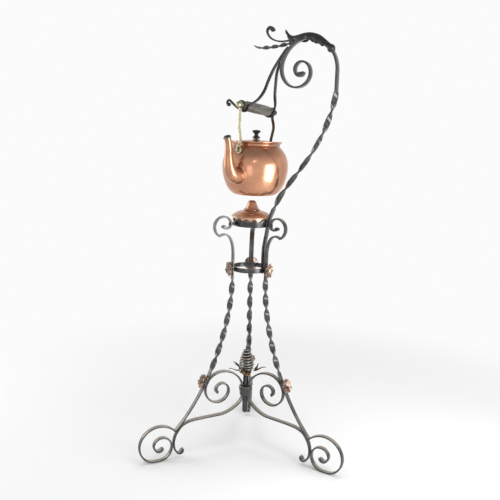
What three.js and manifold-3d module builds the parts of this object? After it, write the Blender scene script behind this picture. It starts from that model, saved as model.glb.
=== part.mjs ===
// A wrought iron kettle stand on three scrolled legs, with a crane arm that hooks over and
// holds a copper kettle by its handle above a copper spirit lamp.
//
// Millimetres, +Z up, the floor at z = 0. Legs stand at 0, 120 and 240 degrees round the
// stand's axis. The arm rises in the plane of the first leg, which is the XZ plane, and the
// kettle's spout and handle lie in the YZ direction, square to the arm.

import * as THREE from 'three';
import { mergeVertices } from 'three/addons/utils/BufferGeometryUtils.js';
import Module from 'manifold-3d';

const wasm = await Module();
wasm.setup();

// Clearances
const GAP = 0.3;
const HOLE_CLEARANCE = 0.3;
const TURNING_CLEARANCE = 0.35;
const BEND_CLEARANCE = 0.9;

// Flat bar that the legs, braces and arm are forged from
const BAR_WIDTH = 9.5;
const BAR_THICKNESS = 3.6;

// Heights and radii that place the stand's joints. Whatever the stand carries is placed from
// the gallery's height.
const GALLERY_BASE_HEIGHT = 502;
const RING_DROP = 92;
const RING_HEIGHT = GALLERY_BASE_HEIGHT - RING_DROP;
const RING_RADIUS = 39.1;
const RING_BAND = 10;
const RING_THICKNESS = 3;
const GALLERY_RADIUS = 38;
const GALLERY_FLARE = 2.4;
const GALLERY_THICKNESS = 1.2;
const GALLERY_LEDGE = 6;
const SCALLOP_COUNT = 12;
const SCALLOP_VALLEY = 9;
const SCALLOP_RISE = 7;
const STUD_RISE = 5;
const STUD_HEIGHT = GALLERY_BASE_HEIGHT + STUD_RISE;
const SCROLL_STANDOFF = 3.4;
const LEG_TWIST_DROP = 25;
const LEG_SHOULDER_RISE = 28;
const LEG_TWIST_BOTTOM = 190;
const LEG_HALF_TURNS = 6;
const FOOT_STANDING_RADIUS = 206;
const FOOT_FLAT = 8;
const BRACE_TOE_HEIGHT = 72;
const BRACE_ELBOW_REACH = 62;
const BRACE_ELBOW_DROP = 32.5;

// Centre rod, collar and finial
const COLLAR_BOTTOM = 116;
const COLLAR_LENGTH = 26;
const COLLAR_TOP = COLLAR_BOTTOM + COLLAR_LENGTH;
const COLLAR_WALL = 3.6;
const ROD_RADIUS = 6.35;
const ROD_DROP = 39;
const ROD_BOTTOM = COLLAR_BOTTOM - ROD_DROP;
const ROD_RISE = 23;
const ROD_TOP = COLLAR_TOP + ROD_RISE;
const ROD_PIN_RADIUS = 2;
const CALYX_HEIGHT = 9;
const CALYX_LEAVES = 4;
const CALYX_REACH = 35;
const CALYX_RISE = 26;
const CAGE_WIRE = 4;
const CAGE_TURNS = 10;
const CAGE_HEIGHT = 53;
const CAGE_FOOT_RADIUS = 7.6;
const CAGE_TOP_RADIUS = 3.4;
const CAGE_BULGE = 6.6;
const FINIAL_TIP_LENGTH = 30;

// Rosettes and rivets
const ROSETTE_RISE = 21;
const ROSETTE_HEIGHT = COLLAR_TOP + ROSETTE_RISE;
const ROSETTE_RADIUS = 15;
const ROSETTE_PETALS = 5;
const ROSETTE_DEPTH = 7.6;
const ROSETTE_HEART = 2;
const RIVET_RADIUS = 2;
const RIVET_HEAD_RADIUS = 4;
const RIVET_HEAD_HEIGHT = 2.4;
const TAIL_HEAD_RADIUS = 3.2;
const TAIL_HEAD_HEIGHT = 1.2;
const STUD_SHOULDER = 3.4;

// Crane arm, with its places above the gallery's studs
const ARM_TAIL = 8;
const ARM_RING_RISE = 38;
const ARM_LEAN_TOP = [54, 35];
const ARM_WAIST = [112, 120];
const ARM_TWIST_TOP = [182.6, 273];
const ARM_HALF_TURNS = 6;
const ARM_CROWN_START = [182.4, 310];
const CROWN_TURN = 162;
const CROWN_RADII = [64.6, 60];
const CROWN_SCROLL_RADII = [42.8, 20];
const CROWN_EYE_RADII = [19, 3];
const BEAD_TURN = 41;
const KNOT_RADIUS = 8.2;
const HOOK_ROD_RADIUS = 2.4;
const HOOK_PLACE = 6 / 7;
const HOOK_LEAVING_TURN = 147;
const HOOK_SHANK = [[0.87, 0.8, 0.075], [0.68, 0.59, 0.16], [0.48, 0.46, 0.3], [0.28, 0.36, 0.44],
  [0.12, 0.24, 0.7]];
const LEAF_THICKNESS = 1.2;
const LEAF_HALF_WIDTH = 10;
const LEAF_DROP = 14;
const LEAF_LOBES = 3;
const LEAF_RISE = [4.2, 4.7, 7.6, 9.6, 10.4];
const LEAF_TIP = [[22.3, 6.6], [33.7, 9.3], [43.4, 19.8]];
const STRIP_WIDTH = 7;
const STRIP_THICKNESS = 2.2;
const TWIG_HALF_TURNS = 5;
const TWISTED_TWIG_RUN = [[29.7, -6.4], [50.7, -10], [75.7, -12.3], [100.7, -12.7], [111.7, -10.3],
  [117.7, -6.7]];
const CURL_TWIG_RUN = [[19.7, 0.3], [35.7, -2.3], [56.7, -2.5], [74.7, 3.7], [85.7, 14.8], [86.2, 23.8],
  [80, 27.7], [73.2, 23.8], [70.2, 19.3]];

// Spirit lamp
const LAMP_WALL = 1.1;
const LAMP_CLEARANCE = 0.6;
const LAMP_BOWL_RADIUS = GALLERY_RADIUS - GALLERY_THICKNESS - LAMP_CLEARANCE;
const LAMP_BOWL_HEIGHT = 17.5;
const LAMP_RIM_OVERHANG = 7.2;
const LAMP_RIM_RADIUS = LAMP_BOWL_RADIUS + LAMP_RIM_OVERHANG;
const LAMP_DOME_RISE = 15;
const WICK_TUBE_RADIUS = 5.4;
const WICK_TUBE_WALL = 0.9;
const WICK_TUBE_RISE = 10;
const WICK_TUBE_DROP = 12;
const SNUFFER_HEIGHT = 20.5;
const SNUFFER_FLARE_RADIUS = 16.8;
const SNUFFER_TOP_RADIUS = 7;
const FILLER_HOLE_RADIUS = 2.6;
const FILLER_HOLE_INSET = 12.4;
const FILLER_HOLE_PLACE = LAMP_RIM_RADIUS - FILLER_HOLE_INSET;
const FILLER_HOLE_DEGREES = -57;
const EYELET_WALL = 0.9;

// Kettle
const KETTLE_X = 4.5;
const KETTLE_RISE = 66.8;
const KETTLE_BASE_HEIGHT = GALLERY_BASE_HEIGHT + KETTLE_RISE;
const KETTLE_BASE_RADIUS = 38;
const KETTLE_BELLY_RADIUS = 69;
const KETTLE_BELLY_RISE = 60;
const KETTLE_NECK_RADIUS = 49.6;
const KETTLE_NECK_RISE = 101;
const KETTLE_RIM_FLARE = 4.8;
const KETTLE_RIM_RADIUS = KETTLE_NECK_RADIUS + KETTLE_RIM_FLARE;
const KETTLE_RIM_RISE = 10;
const KETTLE_WALL = 1.4;
const LID_DOME_RISE = 7;
const LID_SKIRT = 7;
const LID_THICKNESS = 1.2;
const KNOB_HEIGHT = 17.5;
const KNOB_RADIUS = 9;
const KNOB_STEM_RADIUS = 1.8;
const SPOUT_RUN = [[50, 34.2], [66, 33.2], [81, 36.7], [93, 47.2], [98.5, 63.2], [99, 79.2],
  [98.3, 94.2], [99.8, 108.2], [104, 119.2]];
const SPOUT_ROOT_RADIUS = 17;
const SPOUT_TIP_RADIUS = 5.4;
const SPOUT_WALL = 1.2;

// Handle
const EAR_DROP = 7.8;
const EAR_HEIGHT = KETTLE_BASE_HEIGHT + KETTLE_NECK_RISE - EAR_DROP;
const EAR_PIN_RADIUS = 2.6;
const EAR_HEAD_RADIUS = 4.6;
const STRAP_WIDTH = 6.6;
const STRAP_THICKNESS = 2.2;
const STRAP_EYE_RADIUS = 6.2;
const STRAP_STANDOFF = 6.5;
const STRAP_WAIST = 3.8;
const STRAP_BELLY = [8.6, 12.6];
const GRIP_RISE = 84.1;
const GRIP_HEIGHT = EAR_HEIGHT + GRIP_RISE;
const GRIP_DROP = 8.4;
const GRIP_LENGTH = 112;
const GRIP_MIDDLE_RADIUS = 10.6;
const GRIP_END_RADIUS = 7.6;
const GRIP_CAP_RADIUS = 10;
const GRIP_CAP_THICKNESS = 4;
const TIE_ROD_RADIUS = 2.4;
const BALL_NUT_RADIUS = 6;

// Finishes
const finish = (color, roughness, metalness) =>
  new THREE.MeshStandardMaterial({ color, roughness, metalness });
const iron = finish(0x3f3f42, 0.55, 0.8);
const copper = finish(0xc47a52, 0.25, 1);
const agedCopper = finish(0xa9714c, 0.45, 0.9);
const brass = finish(0xc9bd8c, 0.3, 1);
const agedBrass = finish(0x7a5a38, 0.55, 0.8);
const wood = finish(0x6d675f, 0.6, 0);
const blackWood = finish(0x1b1b1b, 0.35, 0);
const cotton = finish(0xd8cfb8, 0.95, 0);

const rad = THREE.MathUtils.degToRad;
const v2 = (x, y) => new THREE.Vector2(x, y);
const v3 = (x, y, z) => new THREE.Vector3(x, y, z);
const heading = (degrees) => v2(Math.cos(rad(degrees)), Math.sin(rad(degrees)));

// Paths in a profile plane: x is the distance from the stand's axis, y is the height.

// A scroll bend. Its radius of curvature runs evenly from one value to the other while the
// heading turns, left for a positive turn and right for a negative one. This is the point a
// share of the turn along it.
function curlPoint(start, startHeading, radiusFrom, radiusTo, turn, share) {
  const side = Math.sign(turn);
  const total = Math.abs(rad(turn));
  const growth = (radiusTo - radiusFrom) / total;
  const at = (angle) => {
    const h = rad(startHeading) + side * angle;
    const r = radiusFrom + growth * angle;
    return v2(side * r * Math.sin(h) + growth * Math.cos(h),
      -side * r * Math.cos(h) + growth * Math.sin(h));
  };
  return at(total * share).sub(at(0)).add(start);
}

function curl(start, startHeading, radiusFrom, radiusTo, turn, stepDegrees) {
  const steps = Math.ceil(Math.abs(turn) / stepDegrees);
  const points = [];
  for (let i = 0; i <= steps; i++) {
    points.push(curlPoint(start, startHeading, radiusFrom, radiusTo, turn, i / steps));
  }
  return points;
}

// A free bow between two points, given the heading and the pull of each end
function bow(start, startHeading, startPull, end, endHeading, endPull) {
  return new THREE.CubicBezierCurve(start,
    start.clone().addScaledVector(heading(startHeading), startPull),
    end.clone().addScaledVector(heading(endHeading), -endPull), end);
}

// Points of a curve between two of its parameters
function pointsOf(curve, steps, from = 0, to = 1) {
  const points = [];
  for (let i = 0; i <= steps; i++) points.push(curve.getPoint(from + ((to - from) * i) / steps));
  return points;
}

// The place on a falling or rising curve where it has a given height
function stationAt(curve, height) {
  let low = 0;
  let high = 1;
  const rising = curve.getPoint(1).y > curve.getPoint(0).y;
  for (let i = 0; i < 40; i++) {
    const middle = (low + high) / 2;
    if ((curve.getPoint(middle).y < height) === rising) low = middle;
    else high = middle;
  }
  const point = curve.getPoint(low);
  const along = curve.getTangent(low);
  return { t: low, point, along, degrees: THREE.MathUtils.radToDeg(Math.atan2(along.y, along.x)) };
}

// Joins stretches end to end. Each stretch is { points, halfTurns }, and the twist of the
// twisted ones is counted along their length.
function joinStretches(stretches) {
  const points = [];
  const twists = [];
  let twist = 0;
  for (const { points: run, halfTurns = 0 } of stretches) {
    const lengths = [0];
    for (let i = 1; i < run.length; i++) lengths.push(lengths[i - 1] + run[i].distanceTo(run[i - 1]));
    const total = lengths[lengths.length - 1];
    run.forEach((point, i) => {
      if (points.length && point.distanceTo(points[points.length - 1]) < 0.2) return;
      points.push(point);
      twists.push(twist + (halfTurns * Math.PI * lengths[i]) / total);
    });
    twist += halfTurns * Math.PI;
  }
  return { points, twists };
}

// Evenly spaced points along a run of points
function evenly(points, steps) {
  const path = new THREE.CurvePath();
  for (let i = 1; i < points.length; i++) path.add(new THREE.LineCurve(points[i - 1], points[i]));
  const even = [];
  for (let i = 0; i <= steps; i++) even.push(path.getPointAt(i / steps));
  return even;
}

// Solids

// A closed geometry from rings of points, each ring with the same count
function skin(rings, closed = false) {
  const sides = rings[0].length;
  const positions = rings.flat().flatMap((p) => [p.x, p.y, p.z]);
  const index = [];
  const spans = closed ? rings.length : rings.length - 1;
  for (let i = 0; i < spans; i++) {
    const a = i * sides;
    const b = ((i + 1) % rings.length) * sides;
    for (let j = 0; j < sides; j++) {
      const k = (j + 1) % sides;
      index.push(a + j, b + j, b + k, a + j, b + k, a + k);
    }
  }
  if (!closed) {
    const last = (rings.length - 1) * sides;
    for (let j = 1; j < sides - 1; j++) {
      index.push(0, j, j + 1);
      index.push(last, last + j + 1, last + j);
    }
  }
  const geometry = new THREE.BufferGeometry();
  geometry.setAttribute('position', new THREE.Float32BufferAttribute(positions, 3));
  geometry.setIndex(index);
  return outward(geometry);
}

// Turns a closed geometry's faces outwards if it was wound the other way round
function outward(geometry) {
  const p = geometry.getAttribute('position');
  const index = geometry.getIndex().array;
  const [a, b, c] = [v3(), v3(), v3()];
  let volume = 0;
  for (let i = 0; i < index.length; i += 3) {
    a.fromBufferAttribute(p, index[i]);
    b.fromBufferAttribute(p, index[i + 1]);
    c.fromBufferAttribute(p, index[i + 2]);
    volume += a.dot(b.cross(c));
  }
  if (volume < 0) {
    for (let i = 0; i < index.length; i += 3) [index[i], index[i + 1]] = [index[i + 1], index[i]];
  }
  return geometry;
}

// A bar swept along a path in the XZ plane, with mitred corners. outline(i) gives the section
// at point i as pairs across the plane and in it, before the twist.
function sweepBar({ points, twists }, outline) {
  const rings = points.map((point, i) => {
    const before = i > 0 ? point.clone().sub(points[i - 1]).normalize() : null;
    const after = i < points.length - 1 ? points[i + 1].clone().sub(point).normalize() : null;
    const tangent = (before && after ? before.clone().add(after) : before || after).normalize();
    const mitre = 1 / tangent.dot(after || before);
    const normal = v2(-tangent.y, tangent.x);
    const [c, s] = [Math.cos(twists[i]), Math.sin(twists[i])];
    return outline(i).map(([across, inPlane]) => {
      const y = across * c - inPlane * s;
      const n = (across * s + inPlane * c) * mitre;
      return v3(point.x + normal.x * n, y, point.y + normal.y * n);
    });
  });
  return skin(rings);
}

const rectangle = (width, thickness) => [
  [-width / 2, -thickness / 2], [width / 2, -thickness / 2],
  [width / 2, thickness / 2], [-width / 2, thickness / 2]];

const flatBar = (stretches) =>
  sweepBar(joinStretches(stretches), () => rectangle(BAR_WIDTH, BAR_THICKNESS));

// A round rod along a path in space, with its radius given for each point
function sweepRod(points, radiusAt, sides, closed = false) {
  const frames = [];
  let normal = null;
  points.forEach((point, i) => {
    const next = points[Math.min(i + 1, points.length - 1)];
    const previous = points[Math.max(i - 1, 0)];
    const tangent = next.clone().sub(previous).normalize();
    if (!normal) {
      const guide = Math.abs(tangent.y) < 0.9 ? v3(0, 1, 0) : v3(1, 0, 0);
      normal = guide.cross(tangent).normalize();
    }
    normal = normal.clone().addScaledVector(tangent, -normal.dot(tangent)).normalize();
    frames.push({ point, normal, binormal: tangent.cross(normal) });
  });
  const rings = frames.map(({ point, normal: n, binormal: b }, i) => {
    const ring = [];
    for (let j = 0; j < sides; j++) {
      const angle = (2 * Math.PI * j) / sides;
      ring.push(point.clone().addScaledVector(n, radiusAt(i) * Math.cos(angle))
        .addScaledVector(b, radiusAt(i) * Math.sin(angle)));
    }
    return ring;
  });
  return skin(rings, closed);
}

// A turned piece about the Z axis from [radius, height] pairs that start and end on the axis,
// or that close on themselves
function turned(profile, segments, closes = false) {
  const pairs = closes ? [...profile, profile[0]] : profile;
  const geometry = new THREE.LatheGeometry(pairs.map(([r, z]) => v2(r, z)), segments);
  geometry.rotateX(Math.PI / 2);
  return outward(welded(geometry));
}

// Merges a geometry's shared corners and drops the faces that this leaves without area
function welded(geometry) {
  const bare = geometry.clone();
  bare.deleteAttribute('normal');
  bare.deleteAttribute('uv');
  const merged = mergeVertices(bare, 1e-3);
  const kept = [];
  const index = merged.getIndex().array;
  for (let i = 0; i < index.length; i += 3) {
    const [a, b, c] = [index[i], index[i + 1], index[i + 2]];
    if (a !== b && b !== c && c !== a) kept.push(a, b, c);
  }
  merged.setIndex(kept);
  return merged;
}

function solid(geometry) {
  const merged = outward(welded(geometry));
  return new wasm.Manifold(new wasm.Mesh({
    numProp: 3,
    vertProperties: new Float32Array(merged.getAttribute('position').array),
    triVerts: new Uint32Array(merged.getIndex().array) }));
}

function fromSolid(body) {
  const mesh = body.getMesh();
  const geometry = new THREE.BufferGeometry();
  geometry.setAttribute('position', new THREE.Float32BufferAttribute(mesh.vertProperties, 3));
  geometry.setIndex(Array.from(mesh.triVerts));
  return geometry;
}

const cut = (geometry, tools) =>
  fromSolid(tools.reduce((body, tool) => body.subtract(solid(tool)), solid(geometry)));
const fuse = (geometries) =>
  fromSolid(geometries.map(solid).reduce((body, other) => body.add(other)));

// A turned piece or a pin whose axis starts at a point of the XZ plane and runs along a
// direction in it
function along(geometry, start, direction) {
  const turn = new THREE.Quaternion().setFromUnitVectors(v3(0, 0, 1),
    v3(direction.x, 0, direction.y).normalize());
  return geometry.applyQuaternion(turn).translate(start.x, 0, start.y);
}

const cylinder = (radius, length, segments = 12) =>
  turned([[0, 0], [radius, 0], [radius, length], [0, length]], segments);

// The whole stand, shifted at the end so that its origin is the middle of its footprint
const stand = new THREE.Group();
const legFrames = [0, 120, 240].map((degrees) => {
  const frame = new THREE.Group();
  frame.rotation.z = rad(degrees);
  stand.add(frame);
  return frame;
});

function place(name, geometry, material, parent = stand) {
  const piece = new THREE.Mesh(geometry, material);
  piece.name = name;
  parent.add(piece);
  return piece;
}

// Radii of the bars' middles where they meet the ring and the gallery
const legRingRadius = RING_RADIUS + GAP + BAR_THICKNESS / 2;
const ringInner = RING_RADIUS - RING_THICKNESS;
const armRingRadius = Math.sqrt(ringInner ** 2 - (BAR_WIDTH / 2) ** 2) - GAP - BAR_THICKNESS / 2;
const galleryRadiusAt = (height) =>
  GALLERY_RADIUS + (GALLERY_FLARE * (height - GALLERY_BASE_HEIGHT)) / (SCALLOP_VALLEY + SCALLOP_RISE);
const galleryAtStud = galleryRadiusAt(STUD_HEIGHT);
const armGalleryRadius = galleryAtStud + BEND_CLEARANCE + BAR_THICKNESS / 2;
const scrollRadius = armGalleryRadius + BAR_THICKNESS + SCROLL_STANDOFF;

// Leg: a scroll at its head, a folded corner, the long twisted body, a second folded corner
// and the scroll that it stands on
const scrollSeat = v2(scrollRadius, STUD_HEIGHT);
const headCurl = curl(scrollSeat, -90, 9.6, 8.4, 169, 28);
const headArch = curl(scrollSeat, 90, 14.2, 25.3, -237, 24);
const headCorner = headArch[headArch.length - 1];
const floorLine = BAR_THICKNESS / 2;
const standOuter = v2(FOOT_STANDING_RADIUS + FOOT_FLAT / 2, floorLine);
const standInner = v2(FOOT_STANDING_RADIUS - FOOT_FLAT / 2, floorLine);
const footArch = curl(standOuter, 0, 32.1, 49, 229, 21);
const footCurl = curl(standInner, 180, 30.9, 2.3, -475, 25);
const footCorner = footArch[footArch.length - 1];
const legShoulder = v2(legRingRadius, RING_HEIGHT + LEG_SHOULDER_RISE);
const twistTop = v2(legRingRadius, RING_HEIGHT - LEG_TWIST_DROP);
const legNeck = bow(headCorner, 148, 20, legShoulder, -90, 42);
const legBody = bow(twistTop, -90, 110, footCorner, -45.4, 100);
const twistEnd = stationAt(legBody, LEG_TWIST_BOTTOM);
const legStretches = [
  { points: [...headCurl].reverse() },
  { points: headArch },
  { points: pointsOf(legNeck, 5) },
  { points: [legShoulder, twistTop] },
  { points: evenly(pointsOf(legBody, 24, 0, twistEnd.t), LEG_HALF_TURNS * 5), halfTurns: LEG_HALF_TURNS },
  { points: pointsOf(legBody, 5, twistEnd.t, 1) },
  { points: [...footArch].reverse() },
  { points: footCurl }];

// Brace: a scroll that meets the leg behind its rosette, a bend through the collar, a long
// toe that runs down to the leg's foot, and a small curl at its end
const rosetteSeat = stationAt(legBody, ROSETTE_HEIGHT);
const inwardOf = (station) => v2(station.along.y, -station.along.x);
const barSpacing = BAR_THICKNESS + GAP;
const braceSeat = rosetteSeat.point.clone().addScaledVector(inwardOf(rosetteSeat), barSpacing);
const toeSeat = stationAt(legBody, BRACE_TOE_HEIGHT);
const braceToe = toeSeat.point.clone().addScaledVector(inwardOf(toeSeat), barSpacing);
const braceRodRadius = ROD_RADIUS + GAP + BAR_THICKNESS / 2;
const braceTop = v2(braceRodRadius, COLLAR_TOP + 2);
const braceBottom = v2(braceRodRadius, COLLAR_BOTTOM - 1.5);
const braceScroll = curl(braceSeat, rosetteSeat.degrees, 36.5, 14, -300, 22);
const braceScrollEnd = braceScroll[braceScroll.length - 1];
const braceEye = curl(braceScrollEnd, rosetteSeat.degrees - 300, 15, 6.4, -160, 24);
const braceShoulder = bow(braceTop, 73, 46, braceSeat, rosetteSeat.degrees, 38);
const braceElbow = v2(BRACE_ELBOW_REACH, COLLAR_BOTTOM - BRACE_ELBOW_DROP);
const braceBend = bow(braceBottom, -78, 9, braceElbow, -2, 26);
const braceRun = bow(braceElbow, -2, 52, braceToe, toeSeat.degrees, 20);
const toeCurl = curl(braceToe, toeSeat.degrees, 62, 21, -85, 14);
const toeCurlEnd = toeCurl[toeCurl.length - 1];
const toeEye = curl(toeCurlEnd, toeSeat.degrees - 85, 8.5, 2.6, -200, 29);
const braceStretches = [
  { points: [...braceEye].reverse() },
  { points: [...braceScroll].reverse() },
  { points: pointsOf(braceShoulder, 7).reverse() },
  { points: [braceTop, braceBottom] },
  { points: pointsOf(braceBend, 7) },
  { points: pointsOf(braceRun, 6) },
  { points: toeCurl },
  { points: toeEye }];

// Crane arm: inside the ring, outside the gallery, out and up in a twisted sweep, then over
// in one large scroll
const aboveStud = ([radius, rise]) => v2(radius, STUD_HEIGHT + rise);
const armFoot = v2(armRingRadius, RING_HEIGHT - ARM_TAIL);
const armAtRing = v2(armRingRadius, RING_HEIGHT + ARM_RING_RISE);
const armAtStud = v2(armGalleryRadius, STUD_HEIGHT);
const [armLeanTop, armWaist, armTwistEnd, crownStart] =
  [ARM_LEAN_TOP, ARM_WAIST, ARM_TWIST_TOP, ARM_CROWN_START].map(aboveStud);
const armRise = bow(armAtRing, 90, 20, armAtStud, 87, 22);
const armLean = bow(armAtStud, 87, 7, armLeanTop, 68, 13);
const armSweep = [...pointsOf(bow(armLeanTop, 68, 32, armWaist, 51.5, 34), 16),
  ...pointsOf(bow(armWaist, 51.5, 58, armTwistEnd, 83, 58), 24).slice(1)];
const crownBend = [crownStart, 90, ...CROWN_RADII, CROWN_TURN];
const crownArch = curl(...crownBend, 11);
const crownEnd = crownArch[crownArch.length - 1];
const crownScroll = curl(crownEnd, 90 + CROWN_TURN, ...CROWN_SCROLL_RADII, 250, 16);
const crownScrollEnd = crownScroll[crownScroll.length - 1];
const crownEye = curl(crownScrollEnd, 340 + CROWN_TURN, ...CROWN_EYE_RADII, 325, 24);
const armStretches = [
  { points: [armFoot, v2(armRingRadius, RING_HEIGHT), armAtRing] },
  { points: pointsOf(armRise, 6) },
  { points: pointsOf(armLean, 6) },
  { points: evenly(armSweep, ARM_HALF_TURNS * 5), halfTurns: ARM_HALF_TURNS },
  { points: [armTwistEnd, crownStart] },
  { points: crownArch },
  { points: crownScroll },
  { points: crownEye }];

// Rivets through the joints. Each has its place on the leg's outer face, its direction
// outwards, and the depth of what it passes through.
const outwardDirection = v2(1, 0);
const upperStart = v2(legRingRadius + BAR_THICKNESS / 2, RING_HEIGHT);
const upperDepth = RING_THICKNESS + BAR_THICKNESS + GAP;
const upperDepthAtArm = upperDepth + BAR_THICKNESS + GAP;
const lowerDirection = inwardOf(rosetteSeat).negate();
const lowerStart = rosetteSeat.point.clone().addScaledVector(lowerDirection, BAR_THICKNESS / 2);
const lowerDepth = 2 * BAR_THICKNESS + GAP;
const rosetteStandoff = GAP + ROSETTE_HEART;

function boltHole(start, direction, radius, reach) {
  const from = start.clone().addScaledVector(direction, -reach);
  return along(cylinder(radius + HOLE_CLEARANCE, reach + 6, 8), from, direction);
}

// A domed head outside, a shank, and a flat tail head inside
function rivet(start, direction, depth, standoff) {
  const tail = -depth - BEND_CLEARANCE;
  const profile = [[0, tail - TAIL_HEAD_HEIGHT], [TAIL_HEAD_RADIUS * 0.8, tail - TAIL_HEAD_HEIGHT],
    [TAIL_HEAD_RADIUS, tail], [RIVET_RADIUS, tail],
    [RIVET_RADIUS, standoff], [RIVET_HEAD_RADIUS, standoff],
    [RIVET_HEAD_RADIUS * 0.75, standoff + RIVET_HEAD_HEIGHT * 0.7],
    [0, standoff + RIVET_HEAD_HEIGHT]];
  return along(turned(profile, 6), start, direction);
}

// A pressed flower of rounded petals, dished towards its pierced middle
function rosette(start, direction) {
  const perPetal = 4;
  const steps = ROSETTE_PETALS * perPetal;
  const eye = RIVET_RADIUS + HOLE_CLEARANCE;
  const rings = [];
  for (let i = 0; i < steps; i++) {
    const angle = (2 * Math.PI * i) / steps;
    const swell = Math.abs(Math.cos((ROSETTE_PETALS * angle) / 2));
    const reach = ROSETTE_RADIUS * (0.7 + 0.3 * Math.sqrt(swell));
    const crown = ROSETTE_DEPTH * (0.55 + 0.45 * swell);
    const profile = [[eye, GAP], [reach * 0.62, GAP + 0.4], [reach, crown * 0.8],
      [reach * 0.88, crown], [RIVET_HEAD_RADIUS + 0.8, ROSETTE_HEART], [eye, ROSETTE_HEART]];
    rings.push(profile.map(([r, h]) => v3(r * Math.cos(angle), r * Math.sin(angle), h)));
  }
  return along(skin(rings, true), start, direction);
}

const legHoles = [
  boltHole(upperStart, outwardDirection, RIVET_RADIUS, BAR_THICKNESS + 4),
  boltHole(lowerStart, lowerDirection, RIVET_RADIUS, BAR_THICKNESS + 1),
  boltHole(v2(scrollRadius + BAR_THICKNESS / 2, STUD_HEIGHT), outwardDirection, RIVET_RADIUS,
    BAR_THICKNESS + 2)];
const leg = cut(flatBar(legStretches), legHoles);
const brace = cut(flatBar(braceStretches),
  [boltHole(lowerStart, lowerDirection, RIVET_RADIUS, lowerDepth + 2)]);

legFrames.forEach((frame, i) => {
  const holdsArm = i === 0;
  place(`leg_${i + 1}`, leg.clone(), iron, frame);
  place(`brace_${i + 1}`, brace.clone(), iron, frame);
  place(`rosette_upper_${i + 1}`, rosette(upperStart, outwardDirection), agedCopper, frame);
  place(`rosette_lower_${i + 1}`, rosette(lowerStart, lowerDirection), agedCopper, frame);
  place(`rivet_upper_${i + 1}`,
    rivet(upperStart, outwardDirection, holdsArm ? upperDepthAtArm : upperDepth, rosetteStandoff),
    iron, frame);
  place(`rivet_lower_${i + 1}`, rivet(lowerStart, lowerDirection, lowerDepth, rosetteStandoff),
    iron, frame);
});

// Shouldered studs that hold the gallery off the leg scrolls. Where the arm passes between,
// the shoulder is shorter by the arm and its gap.
function stud(shoulderStart) {
  const scrollInner = scrollRadius - BAR_THICKNESS / 2;
  const tail = scrollRadius + BAR_THICKNESS / 2 + BEND_CLEARANCE + GAP;
  const bandInner = galleryAtStud - GALLERY_THICKNESS;
  const profile = [[0, bandInner], [RIVET_RADIUS, bandInner], [RIVET_RADIUS, shoulderStart],
    [STUD_SHOULDER, shoulderStart], [STUD_SHOULDER, scrollInner - GAP], [RIVET_RADIUS, scrollInner - GAP],
    [RIVET_RADIUS, tail], [TAIL_HEAD_RADIUS, tail],
    [TAIL_HEAD_RADIUS * 0.8, tail + TAIL_HEAD_HEIGHT], [0, tail + TAIL_HEAD_HEIGHT]];
  return along(turned(profile, 6), v2(0, STUD_HEIGHT), outwardDirection);
}

legFrames.forEach((frame, i) => {
  const behindShoulder = i === 0 ? armGalleryRadius + BAR_THICKNESS / 2 + BEND_CLEARANCE
    : galleryRadiusAt(STUD_HEIGHT + STUD_SHOULDER) + GAP;
  place(`gallery_stud_${i + 1}`, stud(behindShoulder), iron, frame);
});

// Ring that ties the legs, and the scalloped gallery that the lamp stands in
const radialHoles = (radius, height, reach) => legFrames.map((frame) =>
  along(cylinder(RIVET_RADIUS + HOLE_CLEARANCE, reach, 8), v2(radius, height), outwardDirection)
    .rotateZ(frame.rotation.z));
const ringBand = turned([[ringInner, RING_HEIGHT - RING_BAND / 2], [RING_RADIUS, RING_HEIGHT - RING_BAND / 2],
  [RING_RADIUS, RING_HEIGHT + RING_BAND / 2], [ringInner, RING_HEIGHT + RING_BAND / 2]], 42, true);
place('top_ring', cut(ringBand, radialHoles(ringInner - 3, RING_HEIGHT, RING_THICKNESS + 6)), iron);

function galleryBand() {
  const steps = SCALLOP_COUNT * 4;
  const rings = [];
  for (let i = 0; i < steps; i++) {
    const angle = (2 * Math.PI * i) / steps;
    const swell = Math.abs(Math.sin((SCALLOP_COUNT * angle) / 2));
    const top = GALLERY_BASE_HEIGHT + SCALLOP_VALLEY + SCALLOP_RISE * Math.pow(swell, 0.75);
    const outer = galleryRadiusAt(top);
    const floorTop = GALLERY_BASE_HEIGHT + GALLERY_THICKNESS;
    const profile = [[GALLERY_RADIUS, GALLERY_BASE_HEIGHT], [outer, top],
      [outer - GALLERY_THICKNESS, top], [GALLERY_RADIUS - GALLERY_THICKNESS, floorTop],
      [GALLERY_RADIUS - GALLERY_LEDGE, floorTop],
      [GALLERY_RADIUS - GALLERY_LEDGE, GALLERY_BASE_HEIGHT]];
    rings.push(profile.map(([r, z]) => v3(r * Math.cos(angle), r * Math.sin(angle), z)));
  }
  return skin(rings, true);
}
place('gallery', cut(galleryBand(), radialHoles(GALLERY_RADIUS - 6, STUD_HEIGHT, 12)), iron);

// Centre rod with a turned pin that carries the finial, and the collar that binds the braces
const calyxFloor = ROD_TOP + GAP;
const cageFoot = calyxFloor + CALYX_HEIGHT;
const cageTop = cageFoot + CAGE_HEIGHT;
place('drop_rod', turned([[0, ROD_BOTTOM], [ROD_RADIUS * 0.5, ROD_BOTTOM + 0.9],
  [ROD_RADIUS * 0.87, ROD_BOTTOM + 3.2], [ROD_RADIUS, ROD_BOTTOM + ROD_RADIUS],
  [ROD_RADIUS, ROD_TOP], [ROD_PIN_RADIUS, ROD_TOP], [ROD_PIN_RADIUS, cageTop],
  [0, cageTop]], 16), iron);

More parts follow.
